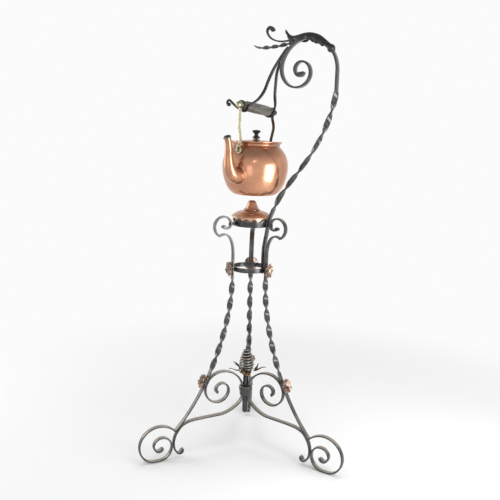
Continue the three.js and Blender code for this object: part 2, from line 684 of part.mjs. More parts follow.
const braceCorner = Math.hypot(braceRodRadius + BAR_THICKNESS / 2, BAR_WIDTH / 2);
const collarInner = braceCorner + GAP;
const collarOuter = collarInner + COLLAR_WALL;
const collarBevel = COLLAR_WALL * 0.4;
place('brace_collar', turned([[collarInner, COLLAR_BOTTOM], [collarOuter - collarBevel, COLLAR_BOTTOM],
  [collarOuter, COLLAR_BOTTOM + collarBevel * 2], [collarOuter, COLLAR_TOP - collarBevel * 2],
  [collarOuter - collarBevel, COLLAR_TOP], [collarInner, COLLAR_TOP]], 24, true), iron);

// Calyx: a turned cup with four narrow leaves that arch out and away
function calyxLeaf(degrees) {
  const spine = new THREE.CubicBezierCurve(v2(6, calyxFloor + 4),
    v2(CALYX_REACH * 0.5, calyxFloor + 4.5), v2(CALYX_REACH * 0.52, calyxFloor + CALYX_RISE * 0.8),
    v2(CALYX_REACH, calyxFloor + CALYX_RISE));
  const steps = 6;
  const points = pointsOf(spine, steps);
  const rings = points.map((point, i) => {
    const tangent = spine.getTangent(i / steps);
    const halfWidth = 0.5 + 4.2 * Math.sin(Math.PI * Math.pow(1 - i / steps, 0.75) * 0.55);
    const half = 0.45 + 0.45 * (1 - i / steps);
    const trough = halfWidth * 0.35;
    return [[-halfWidth, trough + half], [0, -half], [halfWidth, trough + half], [0, half]]
      .map(([side, lift]) => v3(point.x + tangent.y * lift * -1, side, point.y + tangent.x * lift));
  });
  return skin(rings).rotateZ(rad(degrees));
}
const calyxBore = ROD_PIN_RADIUS + HOLE_CLEARANCE;
const calyxCup = turned([[calyxBore, calyxFloor], [6.6, calyxFloor], [7.4, calyxFloor + 2],
  [5.8, calyxFloor + 4], [9, cageFoot - 1], [9.6, cageFoot - GAP], [calyxBore, cageFoot - GAP]], 12, true);
const calyxLeaves = [];
for (let i = 0; i < CALYX_LEAVES; i++) calyxLeaves.push(calyxLeaf(-8 + (360 * i) / CALYX_LEAVES));
place('finial_calyx', cut(fuse([calyxCup, ...calyxLeaves]), [
  turned([[0, calyxFloor - 1], [calyxBore, calyxFloor - 1], [calyxBore, cageTop], [0, cageTop]], 12)]),
agedBrass);

// Finial cage: one unbroken wire wound as a beehive, with straight ends
function cagePoints() {
  const perTurn = 8;
  const steps = CAGE_TURNS * perTurn;
  const height = CAGE_HEIGHT - CAGE_WIRE;
  const points = [];
  for (let i = 0; i <= steps; i++) {
    const t = i / steps;
    const radius = CAGE_FOOT_RADIUS + (CAGE_TOP_RADIUS + CAGE_WIRE / 2 - CAGE_FOOT_RADIUS) * t
      + CAGE_BULGE * Math.sin(Math.PI * Math.pow(t, 0.62));
    const angle = (2 * Math.PI * i) / perTurn;
    points.push(v3(radius * Math.cos(angle), radius * Math.sin(angle),
      cageFoot + CAGE_WIRE / 2 + GAP + height * t));
  }
  const lead = points[0].clone().sub(points[1]).setZ(0).setLength(CAGE_WIRE);
  const tail = points[steps].clone().sub(points[steps - 1]).setZ(0).setLength(CAGE_WIRE);
  return [points[0].clone().add(lead), ...points, points[steps].clone().add(tail)];
}

// The least gap between a wound tube's turns, from the distances between its middle points
function leastGap(points, diameter, nearest) {
  let least = Infinity;
  for (let i = 0; i < points.length; i++) {
    for (let j = i + nearest; j < points.length; j++) {
      least = Math.min(least, points[i].distanceTo(points[j]) - diameter);
    }
  }
  return least;
}
const cagePath = cagePoints();
console.log(`finial cage: least gap ${leastGap(cagePath, CAGE_WIRE, 5).toFixed(2)} mm`);
place('finial_cage', sweepRod(cagePath, () => CAGE_WIRE / 2, 5), iron);

// Finial tip: a ball on the rod's pin and a thin twisted point
function finialTip() {
  const foot = cageTop + GAP;
  const ball = turned([[0, foot], [2.6, foot + 0.6], [3.4, foot + 2.6], [2.6, foot + 4.6], [0, foot + 5.4]], 12);
  const steps = 12;
  const rings = [];
  for (let i = 0; i <= steps; i++) {
    const t = i / steps;
    const half = 1.5 * (1 - t) + 0.35 * t;
    const ring = [];
    for (let j = 0; j < 4; j++) {
      const angle = t * 3 * Math.PI + (j * Math.PI) / 2;
      ring.push(v3(half * Math.cos(angle), half * Math.sin(angle), foot + 3 + FINIAL_TIP_LENGTH * t));
    }
    rings.push(ring);
  }
  return fuse([ball, skin(rings)]);
}
place('finial_tip', finialTip(), iron);

// Arm and what is worked onto its head
const armHoles = [
  along(cylinder(RIVET_RADIUS + HOLE_CLEARANCE, BAR_THICKNESS + 4, 8),
    v2(armRingRadius - BAR_THICKNESS / 2 - 2, RING_HEIGHT), outwardDirection),
  along(cylinder(RIVET_RADIUS + HOLE_CLEARANCE, BAR_THICKNESS + 4, 8),
    v2(armGalleryRadius - BAR_THICKNESS / 2 - 2, STUD_HEIGHT), outwardDirection)];
place('crane_arm', cut(flatBar(armStretches), armHoles), iron);

// A point on the crown's arch, by the heading it has turned through from upright, and set off
// from the bar's middle
function onCrown(turnDegrees, offset) {
  const point = curlPoint(...crownBend, turnDegrees / CROWN_TURN);
  const direction = heading(90 + turnDegrees);
  return point.clone().add(v2(direction.y, -direction.x).multiplyScalar(offset));
}

// Where what is worked onto the crown has left it, given back and up from its top
const crownTop = onCrown(100, 0);
const offCrown = ([back, rise]) => v2(crownTop.x - back, crownTop.y + rise);

// Bead worked round the bar where the leaf starts
const beadCentre = onCrown(BEAD_TURN, 0);
const beadPassage = sweepBar(joinStretches([{ points: crownArch }]),
  () => rectangle(BAR_WIDTH + 2 * GAP, BAR_THICKNESS + 2 * GAP));
const bead = new THREE.SphereGeometry(KNOT_RADIUS, 12, 8).translate(beadCentre.x, 0, beadCentre.y);
place('arm_bead', cut(bead, [beadPassage]), iron);

// Acanthus leaf: a lobed sheet folded over the bar from the bead on, that lifts off it and
// flicks up at its tip. Its edges hang down in lobes on both sides of the bar.
function acanthusLeaf() {
  const spine = new THREE.SplineCurve([
    onCrown(BEAD_TURN + 7.8, LEAF_RISE[0]), onCrown(58, LEAF_RISE[1]), onCrown(72, LEAF_RISE[2]),
    onCrown(87, LEAF_RISE[3]), onCrown(100, LEAF_RISE[4]), ...LEAF_TIP.map(offCrown)]);
  const steps = 17;
  const half = LEAF_THICKNESS / 2;
  const shoulder = BAR_WIDTH / 2 + HOLE_CLEARANCE + LEAF_THICKNESS;
  const rings = [];
  for (let i = 0; i <= steps; i++) {
    const t = i / steps;
    const point = spine.getPoint(t);
    const tangent = spine.getTangent(t);
    const normal = v2(tangent.y, -tangent.x);
    const shrink = t < 0.55 ? 1 : (1 - t) / 0.45;
    const lobe = 1 + 0.25 * Math.cos(2 * Math.PI * (LEAF_LOBES * t / 0.55 - 0.35));
    const fold = Math.max(0.5, shoulder * shrink);
    const edge = Math.max(0.9, LEAF_HALF_WIDTH * shrink * (0.5 + 0.5 * lobe));
    const hang = Math.max(0.3, LEAF_DROP * shrink * lobe * Math.min(1, 0.45 + 3 * t));
    const crease = Math.min(1.2, hang * 0.3);
    const top = [[-edge, half - hang], [-fold, half - crease], [0, half], [fold, half - crease],
      [edge, half - hang]];
    const under = [[edge - half * shrink, -half - hang], [fold - half * shrink, -half - crease], [0, -half],
      [half * shrink - fold, -half - crease], [half * shrink - edge, -half - hang]];
    rings.push([...top, ...under].map(([across, lift]) =>
      v3(point.x + normal.x * lift, across, point.y + normal.y * lift)));
  }
  return skin(rings);
}
place('acanthus_leaf', acanthusLeaf(), iron);

// Two strips that leave the crown under the leaf, one on the other: the lower one is twisted
// to a point, the upper one ends in a curl
function strip(curve, steps, halfTurns, sizeAt) {
  const { points, twists } = joinStretches([{ points: evenly(curve.getPoints(60), steps), halfTurns }]);
  return sweepBar({ points, twists }, (i) => sizeAt(i / steps));
}
const twigSeat = (layer) => BAR_THICKNESS / 2 + GAP + STRIP_THICKNESS / 2 + layer * (STRIP_THICKNESS + GAP);
const twistedRoot = [76, 87, 98, 108].map((turn) => onCrown(turn, twigSeat(0)));
twistedRoot.push(onCrown(118, twigSeat(0) + GAP));
const twistedRun = [twistedRoot[4], ...TWISTED_TWIG_RUN.map(offCrown)];
const twistSteps = TWIG_HALF_TURNS * 6;
const twistedTwig = sweepBar(joinStretches([
  { points: twistedRoot },
  { points: evenly(new THREE.SplineCurve(twistedRun).getPoints(60), twistSteps),
    halfTurns: TWIG_HALF_TURNS }]),
(i) => {
  const fromRoot = Math.min(1, 0.6 + 0.05 * Math.max(0, i - 4));
  const toTip = Math.min(1, 0.25 + (twistSteps + 4 - i) / 10);
  return rectangle(STRIP_WIDTH * fromRoot * toTip, STRIP_THICKNESS * Math.min(1, toTip + 0.2));
});
place('twisted_twig', twistedTwig, iron);

const curlTwig = new THREE.SplineCurve([onCrown(78, twigSeat(1)), onCrown(89, twigSeat(1)),
  onCrown(99, twigSeat(1) + 0.4), ...CURL_TWIG_RUN.map(offCrown)]);
place('curl_twig', strip(curlTwig, 26, 0, (t) =>
  rectangle(STRIP_WIDTH * (1 - 0.2 * t), STRIP_THICKNESS * (t > 0.9 ? 1 + 8 * (t - 0.9) : 1))), iron);

// Hooks: rods welded down the crown's outer face that part, hang and turn up round the grip
const gripSlope = GRIP_DROP / (GRIP_LENGTH + 2 * GRIP_CAP_THICKNESS);
const gripHeightAt = (y) => GRIP_HEIGHT - gripSlope * y;
const hookSpread = (GRIP_LENGTH / 2) * HOOK_PLACE;

function hookRod(side) {
  const rest = BAR_THICKNESS / 2 + GAP + HOOK_ROD_RADIUS;
  const beside = HOOK_ROD_RADIUS + GAP / 2;
  const y = side * hookSpread;
  const axis = v2(KETTLE_X, gripHeightAt(y));
  const trough = GRIP_END_RADIUS + GAP + HOOK_ROD_RADIUS + 0.4;
  const leaving = onCrown(HOOK_LEAVING_TURN, rest);
  const side0 = v2(axis.x + trough, axis.y);
  const points = [HOOK_LEAVING_TURN - 11, HOOK_LEAVING_TURN - 5, HOOK_LEAVING_TURN].map((turn) => {
    const p = onCrown(turn, rest);
    return v3(p.x, side * beside, p.y);
  });
  for (const [rise, reach, spread] of HOOK_SHANK) {
    points.push(v3(side0.x + (leaving.x - side0.x) * reach,
      side * Math.max(beside, spread * hookSpread), side0.y + (leaving.y - side0.y) * rise));
  }
  for (const degrees of [-5, -40, -75, -110]) {
    const p = heading(degrees).multiplyScalar(trough).add(axis);
    points.push(v3(p.x, y, p.y));
  }
  points.push(v3(axis.x - trough * 1.55, y, axis.y - trough * 0.35));
  points.push(v3(axis.x - trough * 2.7, y, axis.y + trough * 0.45));
  const tip = curl(v2(axis.x - trough * 3.1, axis.y + trough * 0.8), 125, 5.4, 3.6, 250, 50);
  tip.forEach((p) => points.push(v3(p.x, y, p.y)));
  return sweepRod(new THREE.CatmullRomCurve3(points).getPoints(36),
    (i) => HOOK_ROD_RADIUS * Math.min(1, 0.55 + 0.15 * i), 6);
}
place('hook_front', hookRod(-1), iron);
place('hook_rear', hookRod(1), iron);

// Spirit lamp, standing on the gallery's ledge
const lampFloor = GALLERY_BASE_HEIGHT + GALLERY_THICKNESS + GAP;
const bowlTop = lampFloor + LAMP_BOWL_HEIGHT;
const bowlCorner = 5;
place('lamp_bowl', turned([[0, lampFloor], [LAMP_BOWL_RADIUS - bowlCorner, lampFloor],
  [LAMP_BOWL_RADIUS - bowlCorner * 0.3, lampFloor + bowlCorner * 0.5],
  [LAMP_BOWL_RADIUS, lampFloor + bowlCorner * 1.4], [LAMP_BOWL_RADIUS + 1.6, bowlTop],
  [LAMP_BOWL_RADIUS + 1.6 - LAMP_WALL, bowlTop],
  [LAMP_BOWL_RADIUS - LAMP_WALL, lampFloor + bowlCorner * 1.4],
  [LAMP_BOWL_RADIUS - bowlCorner * 0.3 - LAMP_WALL, lampFloor + bowlCorner * 0.5 + LAMP_WALL],
  [LAMP_BOWL_RADIUS - bowlCorner, lampFloor + LAMP_WALL], [0, lampFloor + LAMP_WALL]], 26), copper);

// Low dome that covers the bowl and carries the burner, with a filler hole in front
const domeFoot = bowlTop + GAP;
const domeTop = domeFoot + LAMP_DOME_RISE;
const burnerBore = WICK_TUBE_RADIUS + HOLE_CLEARANCE;
function domeHeight(radius) {
  const u = radius / LAMP_RIM_RADIUS;
  return domeFoot + LAMP_WALL + (LAMP_DOME_RISE - LAMP_WALL) * Math.pow(1 - Math.pow(u, 2.4), 0.8);
}
const domeOuter = [1, 0.96, 0.86, 0.66, 0.36].map((u) =>
  [LAMP_RIM_RADIUS * u, domeHeight(LAMP_RIM_RADIUS * u)]);
const domeInner = domeOuter.slice(2).reverse().map(([r, z]) => [r - 0.6, z - LAMP_WALL]);
const domeSheet = turned([[burnerBore, domeTop - LAMP_WALL], ...domeInner,
  [LAMP_BOWL_RADIUS - 1.2, domeFoot], [LAMP_RIM_RADIUS, domeFoot],
  ...domeOuter, [burnerBore, domeTop]], 26, true);
const domeSlope = (domeHeight(FILLER_HOLE_PLACE + 0.5) - domeHeight(FILLER_HOLE_PLACE - 0.5));
const atFiller = (geometry) => geometry.rotateY(-Math.atan(domeSlope))
  .translate(FILLER_HOLE_PLACE, 0, domeHeight(FILLER_HOLE_PLACE)).rotateZ(rad(FILLER_HOLE_DEGREES));
const eyeletRadius = FILLER_HOLE_RADIUS + EYELET_WALL;
place('lamp_dome', cut(domeSheet, [atFiller(cylinder(eyeletRadius + GAP, 8, 10).translate(0, 0, -4))]),
  copper);

// Eyelet set square into the filler hole
place('filler_eyelet', atFiller(turned([[FILLER_HOLE_RADIUS, -3], [eyeletRadius, -3], [eyeletRadius, 0.6],
  [eyeletRadius + 1.2, 0.6], [eyeletRadius + 0.8, 1.4], [FILLER_HOLE_RADIUS, 1.4]], 10, true)), copper);

const tubeTop = domeTop + WICK_TUBE_RISE;
const tubeBottom = domeTop - WICK_TUBE_DROP;
const tubeFlange = WICK_TUBE_RADIUS + 4;
place('wick_tube', turned([[WICK_TUBE_RADIUS - WICK_TUBE_WALL, tubeBottom], [WICK_TUBE_RADIUS, tubeBottom],
  [WICK_TUBE_RADIUS, domeTop + GAP], [tubeFlange, domeTop + GAP], [tubeFlange, domeTop + GAP + 1],
  [WICK_TUBE_RADIUS, domeTop + GAP + 1.6], [WICK_TUBE_RADIUS, tubeTop],
  [WICK_TUBE_RADIUS - WICK_TUBE_WALL, tubeTop]], 12, true), brass);
const wickRadius = WICK_TUBE_RADIUS - WICK_TUBE_WALL - GAP;
place('wick', turned([[0, lampFloor + LAMP_WALL + GAP], [wickRadius, lampFloor + LAMP_WALL + GAP],
  [wickRadius, tubeTop + 0.6], [wickRadius * 0.6, tubeTop + 1.6], [0, tubeTop + 1.8]], 12), cotton);

// Bell-shaped snuffer that stands over the burner
const snufferFoot = domeHeight(SNUFFER_FLARE_RADIUS * 0.9) + GAP;
const snufferTop = snufferFoot + SNUFFER_HEIGHT;
const snufferOuter = [[SNUFFER_FLARE_RADIUS, 0], [SNUFFER_FLARE_RADIUS * 0.97, 0.05],
  [SNUFFER_FLARE_RADIUS * 0.8, 0.17], [SNUFFER_FLARE_RADIUS * 0.66, 0.38],
  [SNUFFER_TOP_RADIUS * 1.28, 0.66], [SNUFFER_TOP_RADIUS * 1.08, 0.9],
  [SNUFFER_TOP_RADIUS * 0.8, 0.98]].map(([r, f]) => [r, snufferFoot + SNUFFER_HEIGHT * f]);
const snufferInner = snufferOuter.slice(1, 6).map(([r, z]) => [r - LAMP_WALL * 1.1, z - LAMP_WALL * 0.3]);
const snufferCeiling = snufferTop - LAMP_WALL * 1.2;
place('snuffer', turned([[0, snufferTop], ...[...snufferOuter].reverse(),
  [SNUFFER_FLARE_RADIUS * 0.9, snufferFoot], ...snufferInner.slice(1),
  [SNUFFER_TOP_RADIUS * 0.7, snufferCeiling], [0, snufferCeiling]], 18), copper);

// Kettle, built about its own axis and then moved over the lamp
const kettle = new THREE.Group();
kettle.position.x = KETTLE_X;
stand.add(kettle);
const bellyHeight = KETTLE_BASE_HEIGHT + KETTLE_BELLY_RISE;
const neckHeight = KETTLE_BASE_HEIGHT + KETTLE_NECK_RISE;
const rimHeight = neckHeight + KETTLE_RIM_RISE;

// The belly from the base's edge to the neck, drawn in by an inset for its inner face
function bellyProfile(inset, lowerSteps, upperSteps) {
  const lower = new THREE.CubicBezierCurve(
    v2(KETTLE_BASE_RADIUS, KETTLE_BASE_HEIGHT + inset),
    v2(KETTLE_BASE_RADIUS + 17 - inset, KETTLE_BASE_HEIGHT + 1 + inset),
    v2(KETTLE_BELLY_RADIUS - inset, bellyHeight - 30), v2(KETTLE_BELLY_RADIUS - inset, bellyHeight));
  const upper = new THREE.CubicBezierCurve(v2(KETTLE_BELLY_RADIUS - inset, bellyHeight),
    v2(KETTLE_BELLY_RADIUS - inset, bellyHeight + 21),
    v2(KETTLE_NECK_RADIUS + 8 - inset, neckHeight - 7 - inset * 0.6),
    v2(KETTLE_NECK_RADIUS - inset, neckHeight));
  return [...pointsOf(lower, lowerSteps), ...pointsOf(upper, upperSteps).slice(1)].map((p) => [p.x, p.y]);
}
const rollRadius = 2;
const flareMiddle = [(KETTLE_NECK_RADIUS + KETTLE_RIM_RADIUS) / 2 - 1.4, (neckHeight + rimHeight) / 2];
const rimProfile = [flareMiddle, [KETTLE_RIM_RADIUS - 1.4, rimHeight - 2 * rollRadius],
  [KETTLE_RIM_RADIUS, rimHeight - rollRadius], [KETTLE_RIM_RADIUS - 0.7, rimHeight - 0.4],
  [KETTLE_RIM_RADIUS - 2, rimHeight], [KETTLE_RIM_RADIUS - 3.2, rimHeight - 0.9]];
const flareInner = [flareMiddle[0] - KETTLE_WALL, flareMiddle[1] + 0.4];
const kettleShell = turned([[0, KETTLE_BASE_HEIGHT], ...bellyProfile(0, 6, 5), ...rimProfile, flareInner,
  ...bellyProfile(KETTLE_WALL, 4, 3).reverse(), [0, KETTLE_BASE_HEIGHT + KETTLE_WALL]], 32);
const kettleForm = turned([[0, KETTLE_BASE_HEIGHT], ...bellyProfile(-GAP, 6, 5), [0, neckHeight]], 32);

// Swan-neck spout in front, towards -Y, hollow from its root to its lip
const spoutRun = new THREE.SplineCurve(
  SPOUT_RUN.map(([reach, rise]) => v2(-reach, KETTLE_BASE_HEIGHT + rise)));
const [spoutRootReach, spoutRootRise] = SPOUT_RUN[0];
const spoutSteps = 14;
function spoutTube(inset, reachOut) {
  const points = spoutRun.getPoints(spoutSteps).map((p) => v3(0, p.x, p.y));
  const last = points.length - 1;
  const end = points[last].clone().sub(points[last - 1]).setLength(reachOut);
  if (reachOut > 0) points.push(points[last].clone().add(end));
  const radiusAt = (i) => {
    const t = Math.min(1, i / spoutSteps);
    const neck = SPOUT_TIP_RADIUS + 3.4 * (1 - t);
    const root = (SPOUT_ROOT_RADIUS - SPOUT_TIP_RADIUS - 3.4) * Math.pow(Math.max(0, 1 - t / 0.55), 1.25);
    return neck + root - inset;
  };
  return sweepRod(points, radiusAt, 10);
}
const spoutBore = spoutTube(SPOUT_WALL, 4);
place('kettle_body', cut(kettleShell, [cylinder(SPOUT_ROOT_RADIUS - 6, 24, 16).rotateX(Math.PI / 2)
  .translate(0, -spoutRootReach - 2, KETTLE_BASE_HEIGHT + spoutRootRise + 1)]), copper, kettle);
place('spout', cut(spoutTube(0, 0), [spoutBore, kettleForm]), copper, kettle);

// Ears: pins on the kettle's shoulder that the handle's straps turn on
function shoulderRadius(height) {
  const profile = bellyProfile(0, 6, 5);
  const above = profile.findIndex(([, z]) => z > height);
  const [[r0, z0], [r1, z1]] = [profile[above - 1], profile[above]];
  return r0 + ((r1 - r0) * (height - z0)) / (z1 - z0);
}
const strapFoot = shoulderRadius(EAR_HEIGHT) + STRAP_STANDOFF;
const strapInner = strapFoot - STRAP_THICKNESS / 2;
const strapOuter = strapFoot + STRAP_THICKNESS / 2;
function ear(side) {
  const root = shoulderRadius(EAR_HEIGHT) - 4;
  const profile = [[0, root], [5.6, root], [5.6, strapInner - 1.6], [EAR_PIN_RADIUS + 1.2, strapInner - GAP],
    [EAR_PIN_RADIUS, strapInner - GAP], [EAR_PIN_RADIUS, strapOuter + GAP],
    [EAR_HEAD_RADIUS, strapOuter + GAP], [EAR_HEAD_RADIUS * 0.8, strapOuter + GAP + 1.6],
    [0, strapOuter + GAP + 2]];
  return cut(turned(profile, 10).rotateX(-side * Math.PI / 2).translate(0, 0, EAR_HEIGHT), [kettleForm]);
}
place('ear_front', ear(-1), brass, kettle);
place('ear_rear', ear(1), brass, kettle);

// Lid: a low dome with a locating skirt, resting on the flare inside the rim
const lidRadius = flareInner[0] - 0.5;
const lidSeat = flareInner[1] + 0.9;
const lidTop = lidSeat + LID_DOME_RISE;
const skirtRadius = KETTLE_NECK_RADIUS - KETTLE_WALL - 1;
const lidHeight = (radius) => lidTop - (LID_DOME_RISE - 0.6) * Math.pow(radius / lidRadius, 2.2);
const lidOuter = [1, 0.86, 0.6, 0.3].map((u) => [lidRadius * u, lidHeight(lidRadius * u)]);
const lidBore = KNOB_STEM_RADIUS + HOLE_CLEARANCE;
place('lid', turned([[lidBore, lidTop - LID_THICKNESS],
  ...lidOuter.slice(2).reverse().map(([r, z]) => [r, z - LID_THICKNESS]),
  [skirtRadius - LID_THICKNESS, lidHeight(skirtRadius) - LID_THICKNESS - 0.4],
  [skirtRadius - LID_THICKNESS - 0.6, lidSeat - LID_SKIRT],
  [skirtRadius - 0.6, lidSeat - LID_SKIRT], [skirtRadius, lidSeat], [lidRadius, lidSeat],
  ...lidOuter, [lidBore, lidTop]], 26, true), copper, kettle);

// Knob: a turned black button on a copper stem that is riveted under the lid
const stemCollar = lidTop + GAP + 2.2;
place('knob_stem', turned([[0, lidTop - LID_THICKNESS - GAP - 1.6], [4, lidTop - LID_THICKNESS - GAP - 1.2],
  [4, lidTop - LID_THICKNESS - GAP], [KNOB_STEM_RADIUS, lidTop - LID_THICKNESS - GAP],
  [KNOB_STEM_RADIUS, lidTop + GAP], [7.6, lidTop + GAP], [5.4, stemCollar],
  [KNOB_STEM_RADIUS, stemCollar], [KNOB_STEM_RADIUS, stemCollar + 9], [0, stemCollar + 9]], 12),
copper, kettle);
const knobFoot = stemCollar + GAP;
const knobBore = KNOB_STEM_RADIUS + HOLE_CLEARANCE;
const knobShape = [[0.62, 0], [0.92, 0.05], [0.92, 0.16], [0.58, 0.24], [0.48, 0.42], [0.6, 0.62],
  [0.95, 0.72], [1, 0.82], [0.9, 0.92], [0.45, 0.99], [0, 1]]
  .map(([u, f]) => [KNOB_RADIUS * u, knobFoot + KNOB_HEIGHT * f]);
place('lid_knob', turned([[0, stemCollar + 9 + GAP], [knobBore, stemCollar + 9 + GAP], [knobBore, knobFoot],
  ...knobShape], 12), blackWood, kettle);

// Handle: two brass straps hung on a tie rod that runs through the wooden grip. The grip
// slopes down to the rear, so the front strap is the longer one.
const gripTilt = Math.atan(gripSlope);
const capInner = GRIP_LENGTH / 2 + GAP;
const capOuter = capInner + GRIP_CAP_THICKNESS;
const strapTopInner = capOuter + GAP;
const strapTopOuter = strapTopInner + STRAP_THICKNESS;
const rodEnd = strapTopOuter + GAP + BALL_NUT_RADIUS * 1.7;
const handle = new THREE.Group();
handle.position.set(KETTLE_X, 0, GRIP_HEIGHT);
handle.rotation.x = -gripTilt;
stand.add(handle);

// Turned pieces on the handle are drawn along the rod, with +Z of the profile towards the rear
const onRod = (geometry) => geometry.rotateX(-Math.PI / 2);
const mirrored = (geometry, side) => (side > 0 ? geometry : geometry.rotateX(Math.PI));
place('tie_rod', onRod(cylinder(TIE_ROD_RADIUS, 2 * rodEnd - 6, 14).translate(0, 0, -rodEnd + 3)), brass, handle);
const rodBore = TIE_ROD_RADIUS + HOLE_CLEARANCE;
const gripHalf = GRIP_LENGTH / 2;
const barrel = [1, 0.79, 0.75, 0.55, 0.28, -0.28, -0.55, -0.75, -0.79, -1].map((u) => {
  const inNeck = Math.abs(u) > 0.77;
  const swell = GRIP_END_RADIUS + 1 + (GRIP_MIDDLE_RADIUS - GRIP_END_RADIUS - 1) * Math.sqrt(1 - (u * u) / 0.9);
  return [inNeck ? GRIP_END_RADIUS : swell, gripHalf * u];
});
place('grip', onRod(turned([[rodBore, gripHalf], ...barrel, [rodBore, -gripHalf]], 14, true)), wood, handle);

const capProfile = [[rodBore, capInner], [GRIP_CAP_RADIUS - 0.8, capInner], [GRIP_CAP_RADIUS, capInner + 1],
  [GRIP_CAP_RADIUS, capOuter - 1], [GRIP_CAP_RADIUS - 0.8, capOuter], [rodBore, capOuter]];
const nutFoot = strapTopOuter + GAP;
const nutProfile = [[rodBore, nutFoot], [BALL_NUT_RADIUS * 0.7, nutFoot]];
for (const degrees of [-40, -15, 10, 35, 62]) {
  nutProfile.push([BALL_NUT_RADIUS * Math.cos(rad(degrees)),
    nutFoot + BALL_NUT_RADIUS * (0.75 + Math.sin(rad(degrees)))]);
}
const nutCrown = nutFoot + BALL_NUT_RADIUS * 1.75;
nutProfile.push([0, nutCrown], [0, rodEnd - 3 + GAP], [rodBore, rodEnd - 3 + GAP]);
for (const [name, side] of [['front', -1], ['rear', 1]]) {
  place(`grip_cap_${name}`, mirrored(onRod(turned(capProfile, 12, true)), side), blackWood, handle);
  place(`ball_nut_${name}`, mirrored(onRod(turned(nutProfile, 10, true)), side), brass, handle);
}

// A strap in its own plane, from the eye on the ear's pin to the eye on the tie rod
function strap(side, belly) {
  const topY = side * ((strapTopInner + strapTopOuter) / 2) * Math.cos(gripTilt);
  const topZ = GRIP_HEIGHT - Math.sin(gripTilt) * side * ((strapTopInner + strapTopOuter) / 2);
  const footY = side * strapFoot;
  const lean = Math.tan(gripTilt);
  const shape = new THREE.SplineCurve([v2(footY, EAR_HEIGHT + 7),
    v2(side * (KETTLE_RIM_RADIUS + STRAP_WAIST), EAR_HEIGHT + 20),
    v2(side * (KETTLE_RIM_RADIUS + belly), EAR_HEIGHT + 47), v2(topY - 13 * lean, topZ - 13)]);
  const run = [v2(footY, EAR_HEIGHT - 1), ...shape.getPoints(11), v2(topY + lean, topZ + 1)];
  const blade = sweepBar(joinStretches([{ points: run }]), () => rectangle(STRAP_WIDTH, STRAP_THICKNESS))
    .rotateZ(Math.PI / 2);
  const eye = (y, z, tilt, bore) => {
    const disc = turned([[bore, -STRAP_THICKNESS / 2], [STRAP_EYE_RADIUS, -STRAP_THICKNESS / 2],
      [STRAP_EYE_RADIUS, STRAP_THICKNESS / 2], [bore, STRAP_THICKNESS / 2]], 10, true);
    return disc.rotateX(-Math.PI / 2 - tilt).translate(0, y, z);
  };
  const hole = (y, z, tilt, bore) => cylinder(bore, 12, 10).translate(0, 0, -6)
    .rotateX(-Math.PI / 2 - tilt).translate(0, y, z);
  const pinBore = EAR_PIN_RADIUS + TURNING_CLEARANCE;
  const blank = fuse([blade, eye(footY, EAR_HEIGHT, 0, pinBore), eye(topY, topZ, gripTilt, rodBore)]);
  return cut(blank, [hole(footY, EAR_HEIGHT, 0, pinBore), hole(topY, topZ, gripTilt, rodBore)]);
}
const straps = new THREE.Group();
straps.position.x = KETTLE_X;
stand.add(straps);
place('strap_front', strap(-1, STRAP_BELLY[0]), brass, straps);
place('strap_rear', strap(1, STRAP_BELLY[1]), brass, straps);

// The footprint's middle: one foot reaches along +X, the other two lie back by half as much
const footReach = Math.max(...footArch.map((p) => p.x)) + BAR_THICKNESS / 2;
const footBack = footReach * Math.cos(rad(60)) + (BAR_WIDTH / 2) * Math.sin(rad(60));
stand.position.x = -(footReach - footBack) / 2;

export default stand;
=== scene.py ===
"""A hanging kettle stand: a wrought iron tripod whose crane arm holds a copper kettle over a
spirit lamp. Sizes are in millimetres from the stand's axis and the floor until a piece is made,
and then in metres in the part's own frame."""

from __future__ import annotations

import logging
import math
from collections.abc import Sequence
from dataclasses import dataclass, field
from enum import Enum
from typing import ClassVar

import bmesh
import bpy
import numpy as np
from mathutils import Matrix, Vector


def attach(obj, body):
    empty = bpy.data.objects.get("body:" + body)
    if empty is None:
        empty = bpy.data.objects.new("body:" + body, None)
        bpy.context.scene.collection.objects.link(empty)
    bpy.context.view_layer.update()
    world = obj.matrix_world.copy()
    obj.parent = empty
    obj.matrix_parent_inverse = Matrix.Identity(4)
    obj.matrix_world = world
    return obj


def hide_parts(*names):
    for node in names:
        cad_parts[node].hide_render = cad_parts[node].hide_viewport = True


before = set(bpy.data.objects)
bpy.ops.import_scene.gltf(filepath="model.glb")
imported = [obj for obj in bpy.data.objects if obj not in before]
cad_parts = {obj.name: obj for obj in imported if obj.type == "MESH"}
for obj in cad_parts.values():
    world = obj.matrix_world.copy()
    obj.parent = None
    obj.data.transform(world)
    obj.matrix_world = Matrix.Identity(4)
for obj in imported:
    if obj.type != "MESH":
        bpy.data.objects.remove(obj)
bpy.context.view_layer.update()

LOG = logging.getLogger("kettle_stand")
MM = 0.001
AXIS_X = -59.45546
LEG_AZIMUTHS = (0.0, 120.0, 240.0)
SIDES = (("front", -1), ("rear", 1))
SHARP = 42.0  # degrees past which an edge stays sharp
LEAST_CORNER = 14.0  # degrees of turn below which a profile isn't rounded
NEAR_AXIS = 0.004  # millimetres that stand for a radius of 0
WELD = 1e-6  # metres within which points are one
Array = np.ndarray
Colour = tuple[float, float, float]
Sockets = dict[str, object]


class Slot(Enum):
    """The record's finishes that a piece can carry."""

    IRON = "iron"
    COPPER = "copper"
    AGED_COPPER = "aged_copper"
    BRASS = "brass"
    AGED_BRASS = "aged_brass"
    WOOD = "wood"
    BLACK_WOOD = "black_wood"
    COTTON = "cotton"


# ---- node benches ----


